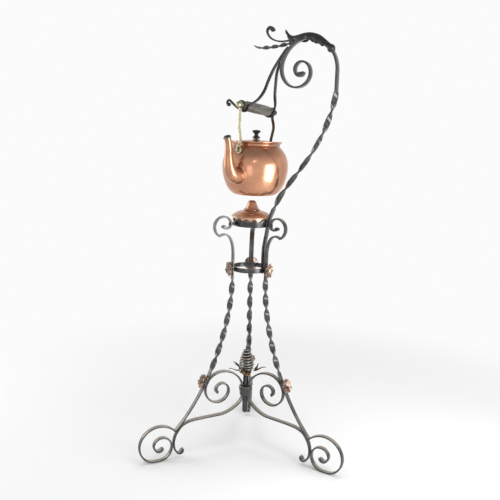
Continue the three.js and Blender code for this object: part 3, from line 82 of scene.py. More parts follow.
@dataclass
class Wire:
    """An output socket that takes part in sums."""

    bench: Bench
    socket: bpy.types.NodeSocket

    def other(self, name: str) -> Wire:
        """Another output of the same node."""
        return Wire(self.bench, Bench.pick(self.socket.node.outputs, name))

    def _sum(self, operation: str, *terms: object) -> Wire:
        """The result of a Math node on values or wires."""
        return self.bench.node("ShaderNodeMath", {"operation": operation}, dict(enumerate(terms)))

    def __add__(self, o: object) -> Wire:
        """This plus another."""
        return self._sum("ADD", self, o)

    __radd__ = __add__

    def __sub__(self, o: object) -> Wire:
        """This less another."""
        return self._sum("SUBTRACT", self, o)

    def __rsub__(self, o: object) -> Wire:
        """Another less this."""
        return self._sum("SUBTRACT", o, self)

    def __mul__(self, o: object) -> Wire:
        """This times another."""
        return self._sum("MULTIPLY", self, o)

    __rmul__ = __mul__

    def __rtruediv__(self, o: object) -> Wire:
        """Another over this."""
        return self._sum("DIVIDE", o, self)

    def __pow__(self, o: object) -> Wire:
        """This to a power."""
        return self._sum("POWER", self, o)

    def sine(self) -> Wire:
        """Its sine."""
        return self._sum("SINE", self)

    def size(self) -> Wire:
        """Its absolute value."""
        return self._sum("ABSOLUTE", self)

    def ramp(self, low: float, high: float, to_low: float = 0.0, to_high: float = 1.0) -> Wire:
        """A smooth step from one range to another.

        Args:
            low: the value that gives to_low.
            high: the value that gives to_high.
            to_low: the result at and below low.
            to_high: the result at and above high.

        Returns:
            The result's wire.
        """
        ends = {"From Min": low, "From Max": high, "To Min": to_low, "To Max": to_high}
        return self.bench.node("ShaderNodeMapRange", {"interpolation_type": "SMOOTHSTEP"}, {"Value": self, **ends})


@dataclass
class Bench:
    """Puts nodes into one tree."""

    tree: bpy.types.NodeTree

    @classmethod
    def cleared(cls, owner: bpy.types.Material | bpy.types.World) -> Bench:
        """A bench on the emptied tree of a material or a world.

        Args:
            owner: the material or the world.

        Returns:
            The bench.
        """
        owner.use_nodes = True
        owner.node_tree.nodes.clear()
        return cls(owner.node_tree)

    @staticmethod
    def pick(sockets: Sequence[bpy.types.NodeSocket], key: int | str) -> bpy.types.NodeSocket:
        """Finds a socket.

        Args:
            sockets: a node's inputs or outputs.
            key: its index, or the name of one that is in use.

        Returns:
            The socket.
        """
        if isinstance(key, int):
            return sockets[key]
        named = [s for s in sockets if s.name == key]
        return next((s for s in named if s.enabled), named[0])

    def node(self, kind: str, settings: dict[str, object] | None = None,
             inputs: dict[int | str, object] | None = None, output: int | str = 0) -> Wire:
        """Adds one node.

        Args:
            kind: the node's type.
            settings: its properties, set first.
            inputs: values or wires for its sockets.
            output: which output is handed back.

        Returns:
            The wire of that output, or of the first input where the node ends the tree.
        """
        made = self.tree.nodes.new(kind)
        for key, value in (settings or {}).items():
            setattr(made, key, value)
        for key, value in (inputs or {}).items():
            socket = self.pick(made.inputs, key)
            if isinstance(value, Wire):
                self.tree.links.new(value.socket, socket)
            else:
                socket.default_value = value
        return Wire(self, self.pick(made.outputs, output) if len(made.outputs) else made.inputs[0])

    def place(self) -> Wire:
        """Object coordinates."""
        return self.node("ShaderNodeTexCoord", None, None, "Object")

    def height(self, place: Wire) -> Wire:
        """A place's height."""
        return self.node("ShaderNodeSeparateXYZ", None, {0: place}, "Z")

    def attribute(self, name: str) -> Wire:
        """What is stored on the mesh: the wear of an edge, on the finial cage painted light, or how far a face looks
        upward.
        """
        return self.node("ShaderNodeAttribute", {"attribute_name": name}, None, "Fac")

    def vector(self, x: object, y: object, z: object) -> Wire:
        """A vector from three values or wires."""
        return self.node("ShaderNodeCombineXYZ", None, {0: x, 1: y, 2: z})

    def mix(self, factor: object, a: Colour | Wire, b: Colour | Wire) -> Wire:
        """A colour between two others.

        Args:
            factor: how much of b.
            a: the first colour.
            b: the second colour.

        Returns:
            The mixed colour's wire.
        """
        ends = {key: end if isinstance(end, Wire) else (*end, 1.0) for key, end in (("A", a), ("B", b))}
        settings = {"data_type": "RGBA", "clamp_factor": True}
        return self.node("ShaderNodeMix", settings, {"Factor": factor, **ends}, "Result")

    def noise(self, place: Wire, scale: float, detail: float = 3.0, stretch: Colour = (1, 1, 1)) -> Wire:
        """Soft noise on a place.

        Args:
            place: the coordinates.
            scale: cells to a metre.
            detail: octaves.
            stretch: scale along each axis.

        Returns:
            The noise's value, about 0.3 to 0.7.
        """
        if stretch != (1, 1, 1):
            place = self.node("ShaderNodeMapping", None, {"Vector": place, "Scale": stretch})
        return self.node("ShaderNodeTexNoise", None, {"Vector": place, "Scale": scale, "Detail": detail})

    def dents(self, place: Wire, scale: float, softness: float, strength: float, distance: float) -> Wire:
        """A normal with the shallow dents of a hammer.

        Args:
            place: the coordinates.
            scale: dents to a metre.
            softness: how far they run together, 0 to 1.
            strength: how much of them shows.
            distance: their depth in metres.

        Returns:
            The normal's wire.
        """
        inputs = {"Vector": place, "Scale": scale, "Smoothness": softness}
        cells = self.node("ShaderNodeTexVoronoi", {"feature": "SMOOTH_F1"}, inputs, "Distance")
        return self.bump(cells, strength, distance)

    def bump(self, height: Wire, strength: float, distance: float, under: Wire | None = None) -> Wire:
        """A normal from a height.

        Args:
            height: the height, 0 to 1.
            strength: how much of it shows.
            distance: its depth in metres.
            under: a normal that it lies on.

        Returns:
            The normal's wire.
        """
        beneath = {} if under is None else {"Normal": under}
        inputs = {"Strength": strength, "Distance": distance, "Height": height, **beneath}
        return self.node("ShaderNodeBump", None, inputs)


# ---- finishes ----


@dataclass(frozen=True)
class Finish:
    """A finish with a procedural material."""

    name: str
    slot: Slot

    def material(self) -> bpy.types.Material:
        """Makes the finish's material once.

        Returns:
            The material.
        """
        made = bpy.data.materials.get(self.name)
        if not made:
            made = bpy.data.materials.new(self.name)
            bench = Bench.cleared(made)
            shader = bench.node("ShaderNodeBsdfPrincipled", None, self.paint(bench))
            bench.node("ShaderNodeOutputMaterial", None, {"Surface": shader})
        return made

    def paint(self, bench: Bench) -> Sockets:
        """Makes the patterns of the finish.

        Args:
            bench: the material's bench.

        Returns:
            A value or a wire for each of the shader's sockets that it sets.
        """
        raise NotImplementedError


@dataclass(frozen=True)
class ForgedIron(Finish):
    """Blackened wrought iron, hammered, with pale worn edges and paler upward faces; on the finial cage the same pale
    tone is painted light.
    """

    dark: Colour = (0.024, 0.0245, 0.026)
    grey: Colour = (0.052, 0.052, 0.052)
    pale_tone: Colour = (0.36, 0.32, 0.265)
    rust: Colour = (0.14, 0.08, 0.045)
    upward_paling: float = 0.9
    edge: float = 0.4
    polish: float = 0.2
    coat: float = 0.34
    coat_blur: float = 0.21
    metal: float = 0.62
    shine: float = 0.6

    def paint(self, bench: Bench) -> Sockets:
        """Makes hammer marks, scale, pale worn edges, paler upward faces and the finial cage's painted light.

        Args:
            bench: the material's bench.

        Returns:
            The shader's sockets. See Finish.paint.
        """
        place = bench.place()
        middle, grit = bench.noise(place, 110, 4), bench.noise(place, 1500, 2)
        tone = bench.noise(place, 28, 4).ramp(0.36, 0.64)
        # On most pieces the wear attribute is edge wear; on the finial cage it holds painted light, pale on the wires'
        # upper, outward halves.
        worn = bench.attribute("wear") * (middle.ramp(0.35, 0.65) * 0.6 + 0.4) * self.edge
        # Faces that look upward are made paler.
        pale_tone = worn + bench.attribute("upward").ramp(0.4, 0.97) * (tone * 0.35 + 0.65) * self.upward_paling
        base = bench.mix(pale_tone.ramp(0.0, 1.0), bench.mix(tone, self.dark, self.grey), self.pale_tone)
        rust = bench.noise(place, 75, 5).ramp(0.6, 0.74) * middle.ramp(0.4, 0.6) * 0.25
        hammered = bench.dents(place, 150, 0.8, 0.045, 0.0009)
        return {
            "Base Color": bench.mix(rust, base, self.rust),
            "Roughness": (middle * 0.16 + self.polish) + pale_tone * 0.12,
            "Metallic": self.metal,
            "Specular IOR Level": self.shine,
            "Coat Weight": self.coat,
            "Coat Roughness": self.coat_blur,
            "Normal": bench.bump(bench.noise(place, 420, 5) + grit * 0.3, 0.02, 0.0004, hammered),
        }


@dataclass(frozen=True)
class SheetCopper(Finish):
    """Copper sheet or turned copper, polished, with tarnish and fine scratches, and above a set height a painted dark
    reflection.
    """

    bright: Colour = (0.57, 0.28, 0.17)
    dull: Colour = (0.43, 0.205, 0.122)
    stain_and_dark_reflection: Colour = (0.27, 0.15, 0.098)
    polish: float = 0.145
    painted_reflection_from: float = 9.0
    metal: float = 0.86

    def paint(self, bench: Bench) -> Sockets:
        """Makes tarnish, stains, planishing, scratches, and a painted dark reflection above a set height.

        Args:
            bench: the material's bench.

        Returns:
            The shader's sockets. See Finish.paint.
        """
        place = bench.place()
        cloud = bench.noise(place, 55, 5)
        scratch = bench.noise(place, 900, 2, (0.25, 0.25, 2.2))
        base = bench.mix(bench.noise(place, 16, 3).ramp(0.4, 0.68) * 0.75, self.bright, self.dull)
        base = bench.mix(cloud.ramp(0.57, 0.78) * 0.5, base, self.stain_and_dark_reflection)
        # Painted reflection: above a set height the copper is darkened toward its stained colour, standing in for a
        # dark ceiling reflected in the kettle's shoulder and lid.
        rising = bench.height(place).ramp(self.painted_reflection_from, self.painted_reflection_from + 0.055)
        base = bench.mix(rising * (cloud.ramp(0.3, 0.6) * 0.3 + 0.55), base, self.stain_and_dark_reflection)
        beaten = bench.dents(place, 85, 1.0, 0.05, 0.0012)
        return {
            "Base Color": bench.mix(bench.attribute("wear") * 0.6, base, self.bright),
            "Roughness": (cloud.ramp(0.35, 0.75) * 0.14 + self.polish) + scratch.ramp(0.45, 0.7) * 0.06,
            "Metallic": self.metal,
            "Normal": bench.bump(scratch, 0.05, 0.0002, beaten),
        }


@dataclass(frozen=True)
class WornCopper(Finish):
    """Copper stampings with bright pink rims and dark, brassy hollows."""

    rim: Colour = (0.8, 0.55, 0.42)
    face: Colour = (0.46, 0.31, 0.23)
    hollow: Colour = (0.09, 0.075, 0.066)
    metal: float = 0.8

    def paint(self, bench: Bench) -> Sockets:
        """Makes the rims, the faces and the hollows.

        Args:
            bench: the material's bench.

        Returns:
            The shader's sockets. See Finish.paint.
        """
        cloud = bench.noise(bench.place(), 130, 4)
        base = bench.mix(cloud.ramp(0.35, 0.65), self.hollow, self.face)
        return {
            "Base Color": bench.mix(bench.attribute("wear") * cloud.ramp(0.3, 0.6, 0.45, 1.0), base, self.rim),
            "Roughness": cloud * 0.35 + 0.22,
            "Metallic": self.metal,
            "Normal": bench.bump(cloud, 0.3, 0.0006),
        }


@dataclass(frozen=True)
class Brass(Finish):
    """Brass, pale and polished, brown and tarnished, or darkened as painted shade."""

    bright: Colour = (0.6, 0.56, 0.39)
    dull: Colour = (0.33, 0.295, 0.18)
    polish: float = 0.28
    metal: float = 1.0

    def paint(self, bench: Bench) -> Sockets:
        """Makes tarnish in clouds, and bright edges.

        Args:
            bench: the material's bench.

        Returns:
            The shader's sockets. See Finish.paint.
        """
        place = bench.place()
        spots = bench.noise(place, 480, 3)
        base = bench.mix(bench.noise(place, 90, 5).ramp(0.42, 0.7), self.bright, self.dull)
        return {
            "Base Color": bench.mix(bench.attribute("wear") * 0.5, base, self.bright),
            "Roughness": spots * 0.2 + self.polish,
            "Metallic": self.metal,
            "Normal": bench.bump(spots, 0.04, 0.0002),
        }


@dataclass(frozen=True)
class TurnedWood(Finish):
    """Wood turned on a lathe, with its grain along the grip."""

    pale: Colour = (0.155, 0.14, 0.122)
    dark: Colour = (0.06, 0.053, 0.046)
    along: Colour = (1.0, 0.07, 1.0)
    gloss: float = 0.48

    def paint(self, bench: Bench) -> Sockets:
        """Makes grain, pores and handling wear.

        Args:
            bench: the material's bench.

        Returns:
            The shader's sockets. See Finish.paint.
        """
        place = bench.place()
        grain, pores = bench.noise(place, 420, 5, self.along), bench.noise(place, 1300, 3, self.along)
        base = bench.mix(grain.ramp(0.38, 0.64), self.dark, self.pale)
        base = bench.mix(pores.ramp(0.58, 0.72) * 0.6, base, self.dark)
        return {
            "Base Color": bench.mix(bench.attribute("wear") * 0.35, base, self.pale),
            "Roughness": grain * 0.2 + (self.gloss - 0.1),
            "Normal": bench.bump(grain + pores * 0.5, 0.12, 0.0003),
        }


@dataclass(frozen=True)
class Cotton(Finish):
    """A braided cotton wick, charred at its top."""

    cord: Colour = (0.68, 0.62, 0.5)
    shade: Colour = (0.5, 0.45, 0.36)
    char: Colour = (0.03, 0.025, 0.02)
    char_height: float = 0.5462

    def paint(self, bench: Bench) -> Sockets:
        """Makes fibres and the charred end.

        Args:
            bench: the material's bench.

        Returns:
            The shader's sockets. See Finish.paint.
        """
        place = bench.place()
        fibre = bench.noise(place, 1800, 3, (1, 1, 0.3))
        burnt = bench.height(place).ramp(self.char_height - 0.0012, self.char_height + 0.0006)
        return {
            "Base Color": bench.mix(burnt, bench.mix(fibre, self.shade, self.cord), self.char),
            "Roughness": fibre * 0.1 + 0.85,
            "Normal": bench.bump(fibre, 0.5, 0.0004),
        }


IRON = ForgedIron("forged_iron", Slot.IRON)
DARK_IRON = ForgedIron("darkest_iron", Slot.IRON, dark=(0.011, 0.011, 0.012), grey=(0.026, 0.026, 0.027),
    pale_tone=(0.09, 0.087, 0.082), upward_paling=0.12, polish=0.27)
ARM_IRON = ForgedIron("arm_iron", Slot.IRON, dark=(0.012, 0.0125, 0.0135), grey=(0.03, 0.03, 0.031),
    pale_tone=(0.3, 0.28, 0.25), upward_paling=0.4, polish=0.13, coat=0.7, coat_blur=0.12)
# On the finial cage this iron's pale tone, raised by a high edge value, is painted light on the wires.
CAGE_IRON = ForgedIron("finial_iron", Slot.IRON, dark=(0.016, 0.014, 0.012), grey=(0.034, 0.031, 0.027),
    pale_tone=(0.27, 0.25, 0.215), upward_paling=0.15, edge=1.4)
POLISHED_IRON = ForgedIron("worn_iron", Slot.IRON, dark=(0.05, 0.048, 0.046), pale_tone=(0.3, 0.27, 0.24), upward_paling=0.75)
# The kettle's copper darkens above 0.638 m: a painted reflection of a dark ceiling in its shoulder and lid.
COPPER = SheetCopper("kettle_copper", Slot.COPPER, painted_reflection_from=0.638)
LAMP_COPPER = SheetCopper("lamp_copper", Slot.COPPER, (0.66, 0.42, 0.29), (0.5, 0.305, 0.2), polish=0.27)
SNUFFER_COPPER = SheetCopper("snuffer_copper", Slot.COPPER, (0.47, 0.27, 0.18), (0.34, 0.195, 0.128), polish=0.27)
FLOWER_COPPER = WornCopper("flower_copper", Slot.AGED_COPPER)
BRASS = Brass("pale_brass", Slot.BRASS)
# The rear strap, nut and ear pin take this darker brass as painted shade on the kettle's far side.
SHADED_REAR_BRASS = Brass("shaded_rear_brass", Slot.BRASS, (0.1, 0.07, 0.042), (0.035, 0.026, 0.02), 0.3)
CALYX_BRASS = Brass("tarnished_brass", Slot.AGED_BRASS, (0.3, 0.185, 0.085), (0.11, 0.068, 0.035), 0.36)
PIN_BRASS = Brass("dull_brass", Slot.BRASS, (0.27, 0.24, 0.13), (0.13, 0.11, 0.055), 0.34)
LEAF_BRASS = Brass("blackened_brass", Slot.AGED_BRASS, (0.17, 0.115, 0.06), (0.03, 0.025, 0.02), 0.38)
WOOD = TurnedWood("grip_wood", Slot.WOOD)
EBONY = TurnedWood("ebonised_wood", Slot.BLACK_WOOD, (0.03, 0.028, 0.027), (0.008, 0.008, 0.008), (1, 1, 0.2), 0.3)
COTTON = Cotton("cotton_wick", Slot.COTTON)


# ---- paths ----


def heading(degrees: float) -> Array:
    """The unit vector at an angle in a profile plane."""
    return np.array([math.cos(math.radians(degrees)), math.sin(math.radians(degrees))])


def curl_at(start: Array, start_heading: float, r_from: float, r_to: float, turn: float, share: Array) -> Array:
    """Points along a scroll bend.

    Args:
        start: where it starts.
        start_heading: its heading there, in degrees.
        r_from: the radius of curvature at the start.
        r_to: the radius of curvature at the end.
        turn: the heading it turns through, positive to the left.
        share: how far along, 0 to 1.

    Returns:
        One point for each share.
    """
    side, total = math.copysign(1, turn), abs(math.radians(turn))
    growth = (r_to - r_from) / total
    angle = np.append(0.0, np.atleast_1d(share) * total)
    h, r = math.radians(start_heading) + side * angle, r_from + growth * angle
    p = np.stack([side * r * np.sin(h) + growth * np.cos(h), -side * r * np.cos(h) + growth * np.sin(h)], 1)
    return p[1:] - p[0] + start


def curl(start: Array, start_heading: float, r_from: float, r_to: float, turn: float, step: float = 4.0) -> Array:
    """A scroll bend with a point every few degrees, by the sizes of curl_at."""
    count = math.ceil(abs(turn) / step)
    return curl_at(start, start_heading, r_from, r_to, turn, np.linspace(0, 1, count + 1))


def bezier(a: Array, b: Array, c: Array, d: Array, t: Array | float) -> Array:
    """Points on a free curve.

    Args:
        a: where it starts.
        b: the handle of its start.
        c: the handle of its end.
        d: where it ends.
        t: parameters from 0 to 1.

    Returns:
        One point for each parameter.
    """
    t = np.atleast_1d(t)[:, None]
    u = 1 - t
    return u**3 * a + 3 * u * u * t * b + 3 * u * t * t * c + t**3 * d


@dataclass(frozen=True)
class Bow:
    """A free bow between two points, with the heading and pull of each end."""

    start: Array
    start_heading: float
    start_pull: float
    end: Array
    end_heading: float
    end_pull: float

    def at(self, t: Array | float) -> Array:
        """Points at parameters from 0 to 1."""
        leaving, arriving = heading(self.start_heading) * self.start_pull, heading(self.end_heading) * self.end_pull
        return bezier(self.start, self.start + leaving, self.end - arriving, self.end, t)

    def points(self, count: int = 36, low: float = 0.0, high: float = 1.0) -> Array:
        """Points between two parameters."""
        return self.at(np.linspace(low, high, count + 1))

    def station(self, height: float) -> tuple[float, Array, float]:
        """The place with a given height on a bow that falls or rises.

        Args:
            height: the height to find.

        Returns:
            Its parameter, its point and the bow's heading there in degrees.
        """
        low, high = 0.0, 1.0
        rising = self.end[1] > self.start[1]
        for _ in range(40):
            middle = (low + high) / 2
            if (self.at(middle)[0][1] < height) == rising:
                low = middle
            else:
                high = middle
        a, b = self.at(max(0.0, low - 1e-4))[0], self.at(min(1.0, low + 1e-4))[0]
        return low, self.at(low)[0], math.degrees(math.atan2(*(b - a)[::-1]))


def evenly(points: Array, steps: int) -> Array:
    """The same run with evenly spaced points."""
    s = lengths(points)
    return np.stack([np.interp(np.linspace(0, s[-1], steps + 1), s, axis) for axis in points.T], 1)


def unit(vectors: Array) -> Array:
    """The same vectors with a length of 1."""
    return vectors / np.linalg.norm(vectors, axis=-1, keepdims=True)


def around(count: int) -> Array:
    """Angles evenly round a circle."""
    return np.arange(count) * 2 * math.pi / count


def lengths(points: Array) -> Array:
    """The length along a run at each of its points."""
    return np.append(0.0, np.cumsum(np.linalg.norm(np.diff(points, axis=0), axis=1)))


def spline(points: Sequence[Sequence[float]], count: int, power: float = 0.0) -> Array:
    """A smooth curve through points.

    Args:
        points: the points, in two or three axes.
        count: how many steps in all.
        power: 0 for even knots, 0.25 for knots that follow the spacing.

    Returns:
        The curve's points.
    """
    p = np.array(points, float)
    first = p[0] if power == 0 else 2 * p[0] - p[1]
    last = p[-1] if power == 0 else 2 * p[-1] - p[-2]
    p = np.vstack([first, p, last])
    made = []
    for place in np.linspace(0, len(points) - 1, count + 1):
        i = min(int(place), len(points) - 2)
        t = place - i
        a, b, c, d = p[i : i + 4]
        if power == 0:
            k0, k1, k2 = 1.0, 1.0, 1.0
        else:
            k0, k1, k2 = (max(1e-4, ((y - x) @ (y - x)) ** power) for x, y in ((a, b), (b, c), (c, d)))
        m1 = ((b - a) / k0 - (c - a) / (k0 + k1) + (c - b) / k1) * k1
        m2 = ((c - b) / k1 - (d - b) / (k1 + k2) + (d - c) / k2) * k1
        h = np.array([2 * t**3 - 3 * t * t + 1, t**3 - 2 * t * t + t, -2 * t**3 + 3 * t * t, t**3 - t * t])
        made.append(h @ np.array([b, m1, c, m2]))
    return np.array(made)


@dataclass
class Run:
    """A path in a profile plane, with its twist in radians."""

    points: Array
    twists: Array
    least_step: ClassVar[float] = 0.08
    sharpest_bend: ClassVar[float] = 35.0
    crowded: ClassVar[float] = 2.6

    @classmethod
    def join(cls, *stretches: Array | tuple[Array, float]) -> Run:
        """Joins stretches end to end.

        Args:
            stretches: runs of points, or a run and how many half turns it is twisted through.

        Returns:
            The whole run.
        """
        points, twists, twist = [], [], 0.0
        for stretch in stretches:
            run, halves = stretch if isinstance(stretch, tuple) else (stretch, 0.0)
            s = lengths(run)
            for point, place in zip(run, s):
                if not points or np.linalg.norm(point - points[-1]) >= cls.least_step:
                    points.append(point)
                    twists.append(twist + halves * math.pi * place / s[-1])
            twist += halves * math.pi
        return cls(np.array(points), np.array(twists)).unfouled()

    def unfouled(self) -> Run:
        """Leaves out the points crowded round folded corners.

        Returns:
            The run without them.
        """
        steps, s = unit(np.diff(self.points, axis=0)), self.along
        folds = np.flatnonzero((steps[1:] * steps[:-1]).sum(1) < math.cos(math.radians(self.sharpest_bend))) + 1
        keep = np.ones(len(s), bool)
        for fold in folds:
            keep &= (np.abs(s - s[fold]) > self.crowded) | (np.arange(len(s)) == fold)
        return Run(self.points[keep], self.twists[keep])

    @property
    def along(self) -> Array:
        """The length along the run at each point."""
        return lengths(self.points)


def smooth(low: float, high: float, value: Array | float) -> Array:
    """A smooth step from 0 at low to 1 at high."""
    t = np.clip((np.asarray(value, float) - low) / (high - low), 0, 1)
    return t * t * (3 - 2 * t)


def unevenness(s: Array, seed: float, size: float) -> Array:
    """The slow unevenness of hand work along a length."""
    return size * (np.sin(s / 7.3 + seed) + 0.6 * np.sin(s / 3.1 + 2.3 * seed) + 0.4 * np.sin(s / 17.0 + 5 * seed)) / 2


# ---- skins ----


@dataclass
class Skin:
    """Points and faces being made, in millimetres, with the wear of each point."""

    points: Array = field(default_factory=lambda: np.zeros((0, 3)))
    wear: Array = field(default_factory=lambda: np.zeros(0))
    faces: list[tuple[int, ...]] = field(default_factory=list)

    def rings(self, rings: Array, wear: Array, closed: bool = False) -> Skin:
        """Adds a skin over rings of points, with a face at each open end.

        Args:
            rings: points, as rings by sides by 3.
            wear: wear, as rings by sides.
            closed: whether the last ring joins the first.

        Returns:
            This skin.
        """
        count, sides = rings.shape[:2]
        base = len(self.points)
        self.points = np.vstack([self.points, rings.reshape(-1, 3)])
        self.wear = np.append(self.wear, np.broadcast_to(wear, (count, sides)).reshape(-1))
        for i in range(count if closed else count - 1):
            a, b = base + i * sides, base + ((i + 1) % count) * sides
            for j in range(sides):
                k = (j + 1) % sides
                self.faces.append((a + j, a + k, b + k, b + j))
        if not closed:
            last = base + (count - 1) * sides
            self.faces += [tuple(range(base + sides - 1, base - 1, -1)), tuple(range(last, last + sides))]
        return self

    def add(self, other: Skin) -> Skin:
        """Adds another skin's points and faces.

        Args:
            other: the other skin.

        Returns:
            This skin.
        """
        base = len(self.points)
        self.points = np.vstack([self.points, other.points])
        self.wear = np.append(self.wear, other.wear)
        self.faces += [tuple(base + i for i in f) for f in other.faces]
        return self

    def moved(self, matrix: Matrix) -> Skin:
        """Moves this skin by a matrix in millimetres."""
        self.points = self.points @ np.array(matrix)[:3, :3].T + np.array(matrix.translation)
        return self

    def spun(self, degrees: float) -> Skin:
        """This skin turned about the stand's axis."""
        return self.moved(Matrix.Rotation(math.radians(degrees), 4, "Z"))

    def mesh(self, name: str, sharp: float = SHARP, shift: float = AXIS_X) -> bpy.types.Mesh:
        """A closed mesh in metres in the part's frame, with its faces pointing out.

        Args:
            name: the mesh's name.
            sharp: the angle in degrees past which an edge stays sharp.
            shift: where the stand's axis is in the part's frame.

        Returns:
            The mesh.
        """
        made = bpy.data.meshes.new(name)
        made.from_pydata(((self.points + [shift, 0, 0]) * MM).tolist(), [], self.faces)
        made.attributes.new("wear", "FLOAT", "POINT").data.foreach_set("value", self.wear.astype(np.float32))
        return tidy_mesh(made, sharp)

    def piece(self, name: str, finish: Finish, body: str, *nodes: str, sharp: float = SHARP) -> bpy.types.Object:
        """Makes the finished piece. See settle.

        Args:
            name: the piece's name.
            finish: its finish.
            body: the body it rides on.
            nodes: the nodes it stands for.
            sharp: the angle past which an edge stays sharp.

        Returns:
            The piece.
        """
        return settle(bpy.data.objects.new(name, self.mesh(name, sharp)), finish, body, *nodes)


def tidy_mesh(mesh: bpy.types.Mesh, sharp: float) -> bpy.types.Mesh:
    """Merges doubles, turns faces outwards and sets smooth shading.

    Args:
        mesh: the mesh.
        sharp: the angle in degrees past which an edge stays sharp.

    Returns:
        The same mesh.
    """
    work = bmesh.new()
    work.from_mesh(mesh)
    bmesh.ops.remove_doubles(work, verts=work.verts, dist=WELD)
    bmesh.ops.recalc_face_normals(work, faces=work.faces)
    work.to_mesh(mesh)
    work.free()
    mesh.shade_smooth()
    mesh.set_sharp_from_angle(angle=math.radians(sharp))
    return mesh


def settle(piece: bpy.types.Object, finish: Finish, body: str, *nodes: str) -> bpy.types.Object:
    """Puts a piece in the scene on its body, in place of the plain solids it stands for.

    Args:
        piece: the piece, in place.
        finish: its finish.
        body: the body it rides on.
        nodes: the nodes it stands for.

    Returns:
        The piece.
    """
    shown(piece)
    upward = piece.data.attributes.new("upward", "FLOAT", "POINT")
    upward.data.foreach_set("value", np.ascontiguousarray(measured(piece.data.vertex_normals, "vector")[:, 2]))
    piece.data.materials.clear()
    piece.data.materials.append(finish.material())
    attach(piece, body)
    if nodes:
        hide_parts(*nodes)
    LOG.info("%s: %d faces", piece.name, len(piece.data.polygons))
    return piece


def shown(thing: bpy.types.Object) -> bpy.types.Object:
    """Links an object into the scene, and hands it back."""
    bpy.context.scene.collection.objects.link(thing)
    return thing


def measured(items: bpy.types.bpy_prop_collection, key: str) -> Array:
    """Reads a vector of each of a mesh's items.

    Args:
        items: the mesh's vertices or normals.
        key: the vector's name.

    Returns:
        The vectors.
    """
    values = np.empty(len(items) * 3, np.float32)
    items.foreach_get(key, values)
    return values.reshape(-1, 3)


def evaluated(thing: bpy.types.Object, name: str) -> bpy.types.Object:
    """Makes a plain mesh object from one with modifiers, which is then removed.

    Args:
        thing: the object with modifiers.
        name: the mesh's name and the new object's.

    Returns:
        The new object, in no collection yet.
    """
    bpy.context.view_layer.update()
    graph = bpy.context.evaluated_depsgraph_get()
    mesh = bpy.data.meshes.new_from_object(thing.evaluated_get(graph), depsgraph=graph)
    mesh.name = name
    bpy.data.objects.remove(thing)
    return bpy.data.objects.new(name, mesh)


def bar_section(width: Array, thickness: Array, corner: float = 0.75) -> tuple[Array, Array]:
    """Rounded rectangles, one for each width.

    Args:
        width: across the profile plane.
        thickness: in the plane.
        corner: how far a corner is rounded.

    Returns:
        The outlines as count by 16 by 2, and the wear of each point.
    """
    def all_round(*quarter: float) -> Array:
        """A quarter's values, mirrored to all four."""
        return np.array((quarter + quarter[::-1]) * 2)

    w, t = width[:, None] / 2, thickness[:, None] / 2
    c = np.minimum(corner, np.minimum(w, t) * 0.7)
    x = np.repeat([1, -1, -1, 1], 4) * (w - c * all_round(0, 0, 0.3, 1))
    face = np.where(all_round(1, 0, 0, 0) > 0, t * 0.15, t - c * all_round(0, 1, 0.3, 0))
    return np.stack([x, np.repeat([1, 1, -1, -1], 4) * face], 2), all_round(0.3, 0.7, 1, 0.5)


def sweep_bar(run: Run, outlines: Array, wear: Array) -> Skin:
    """A bar along a run in the XZ plane.

    Args:
        run: its path.
        outlines: one outline for each point, across the plane and in it.
        wear: the wear of an outline's points.

    Returns:
        The bar's skin.
    """
    p = run.points
    steps = unit(np.diff(p, axis=0))
    after = np.vstack([steps, steps[-1:]])
    tangent = unit(np.vstack([steps[:1], steps]) + after)
    mitre = 1 / np.maximum(0.5, (tangent * after).sum(1))[:, None]
    normal = np.stack([-tangent[:, 1], tangent[:, 0]], 1)
    c, s = np.cos(run.twists)[:, None], np.sin(run.twists)[:, None]
    across, inside = outlines[..., 0], outlines[..., 1]
    y = across * c - inside * s
    n = (across * s + inside * c) * mitre
    rings = np.stack([p[:, :1] + normal[:, :1] * n, y, p[:, 1:] + normal[:, 1:] * n], 2)
    return Skin().rings(rings, wear)


def forged_bar(run: Run, width: Array, thickness: Array, seed: float) -> Skin:
    """A hand forged bar with rounded corners.

    Args:
        run: its path.
        width: its width at each point.
        thickness: its thickness at each point.
        seed: where its unevenness starts.

    Returns:
        The bar's skin.
    """
    s = run.along
    w = width * (1 + unevenness(s, seed, 0.022))
    t = thickness * (1 + unevenness(s, seed + 1.7, 0.04))
    ends = np.sqrt(np.clip(np.minimum(s, s[-1] - s) / 1.4, 0.16, 1))
    outlines, wear = bar_section(w * ends, t * ends)
    return sweep_bar(run, outlines, wear)


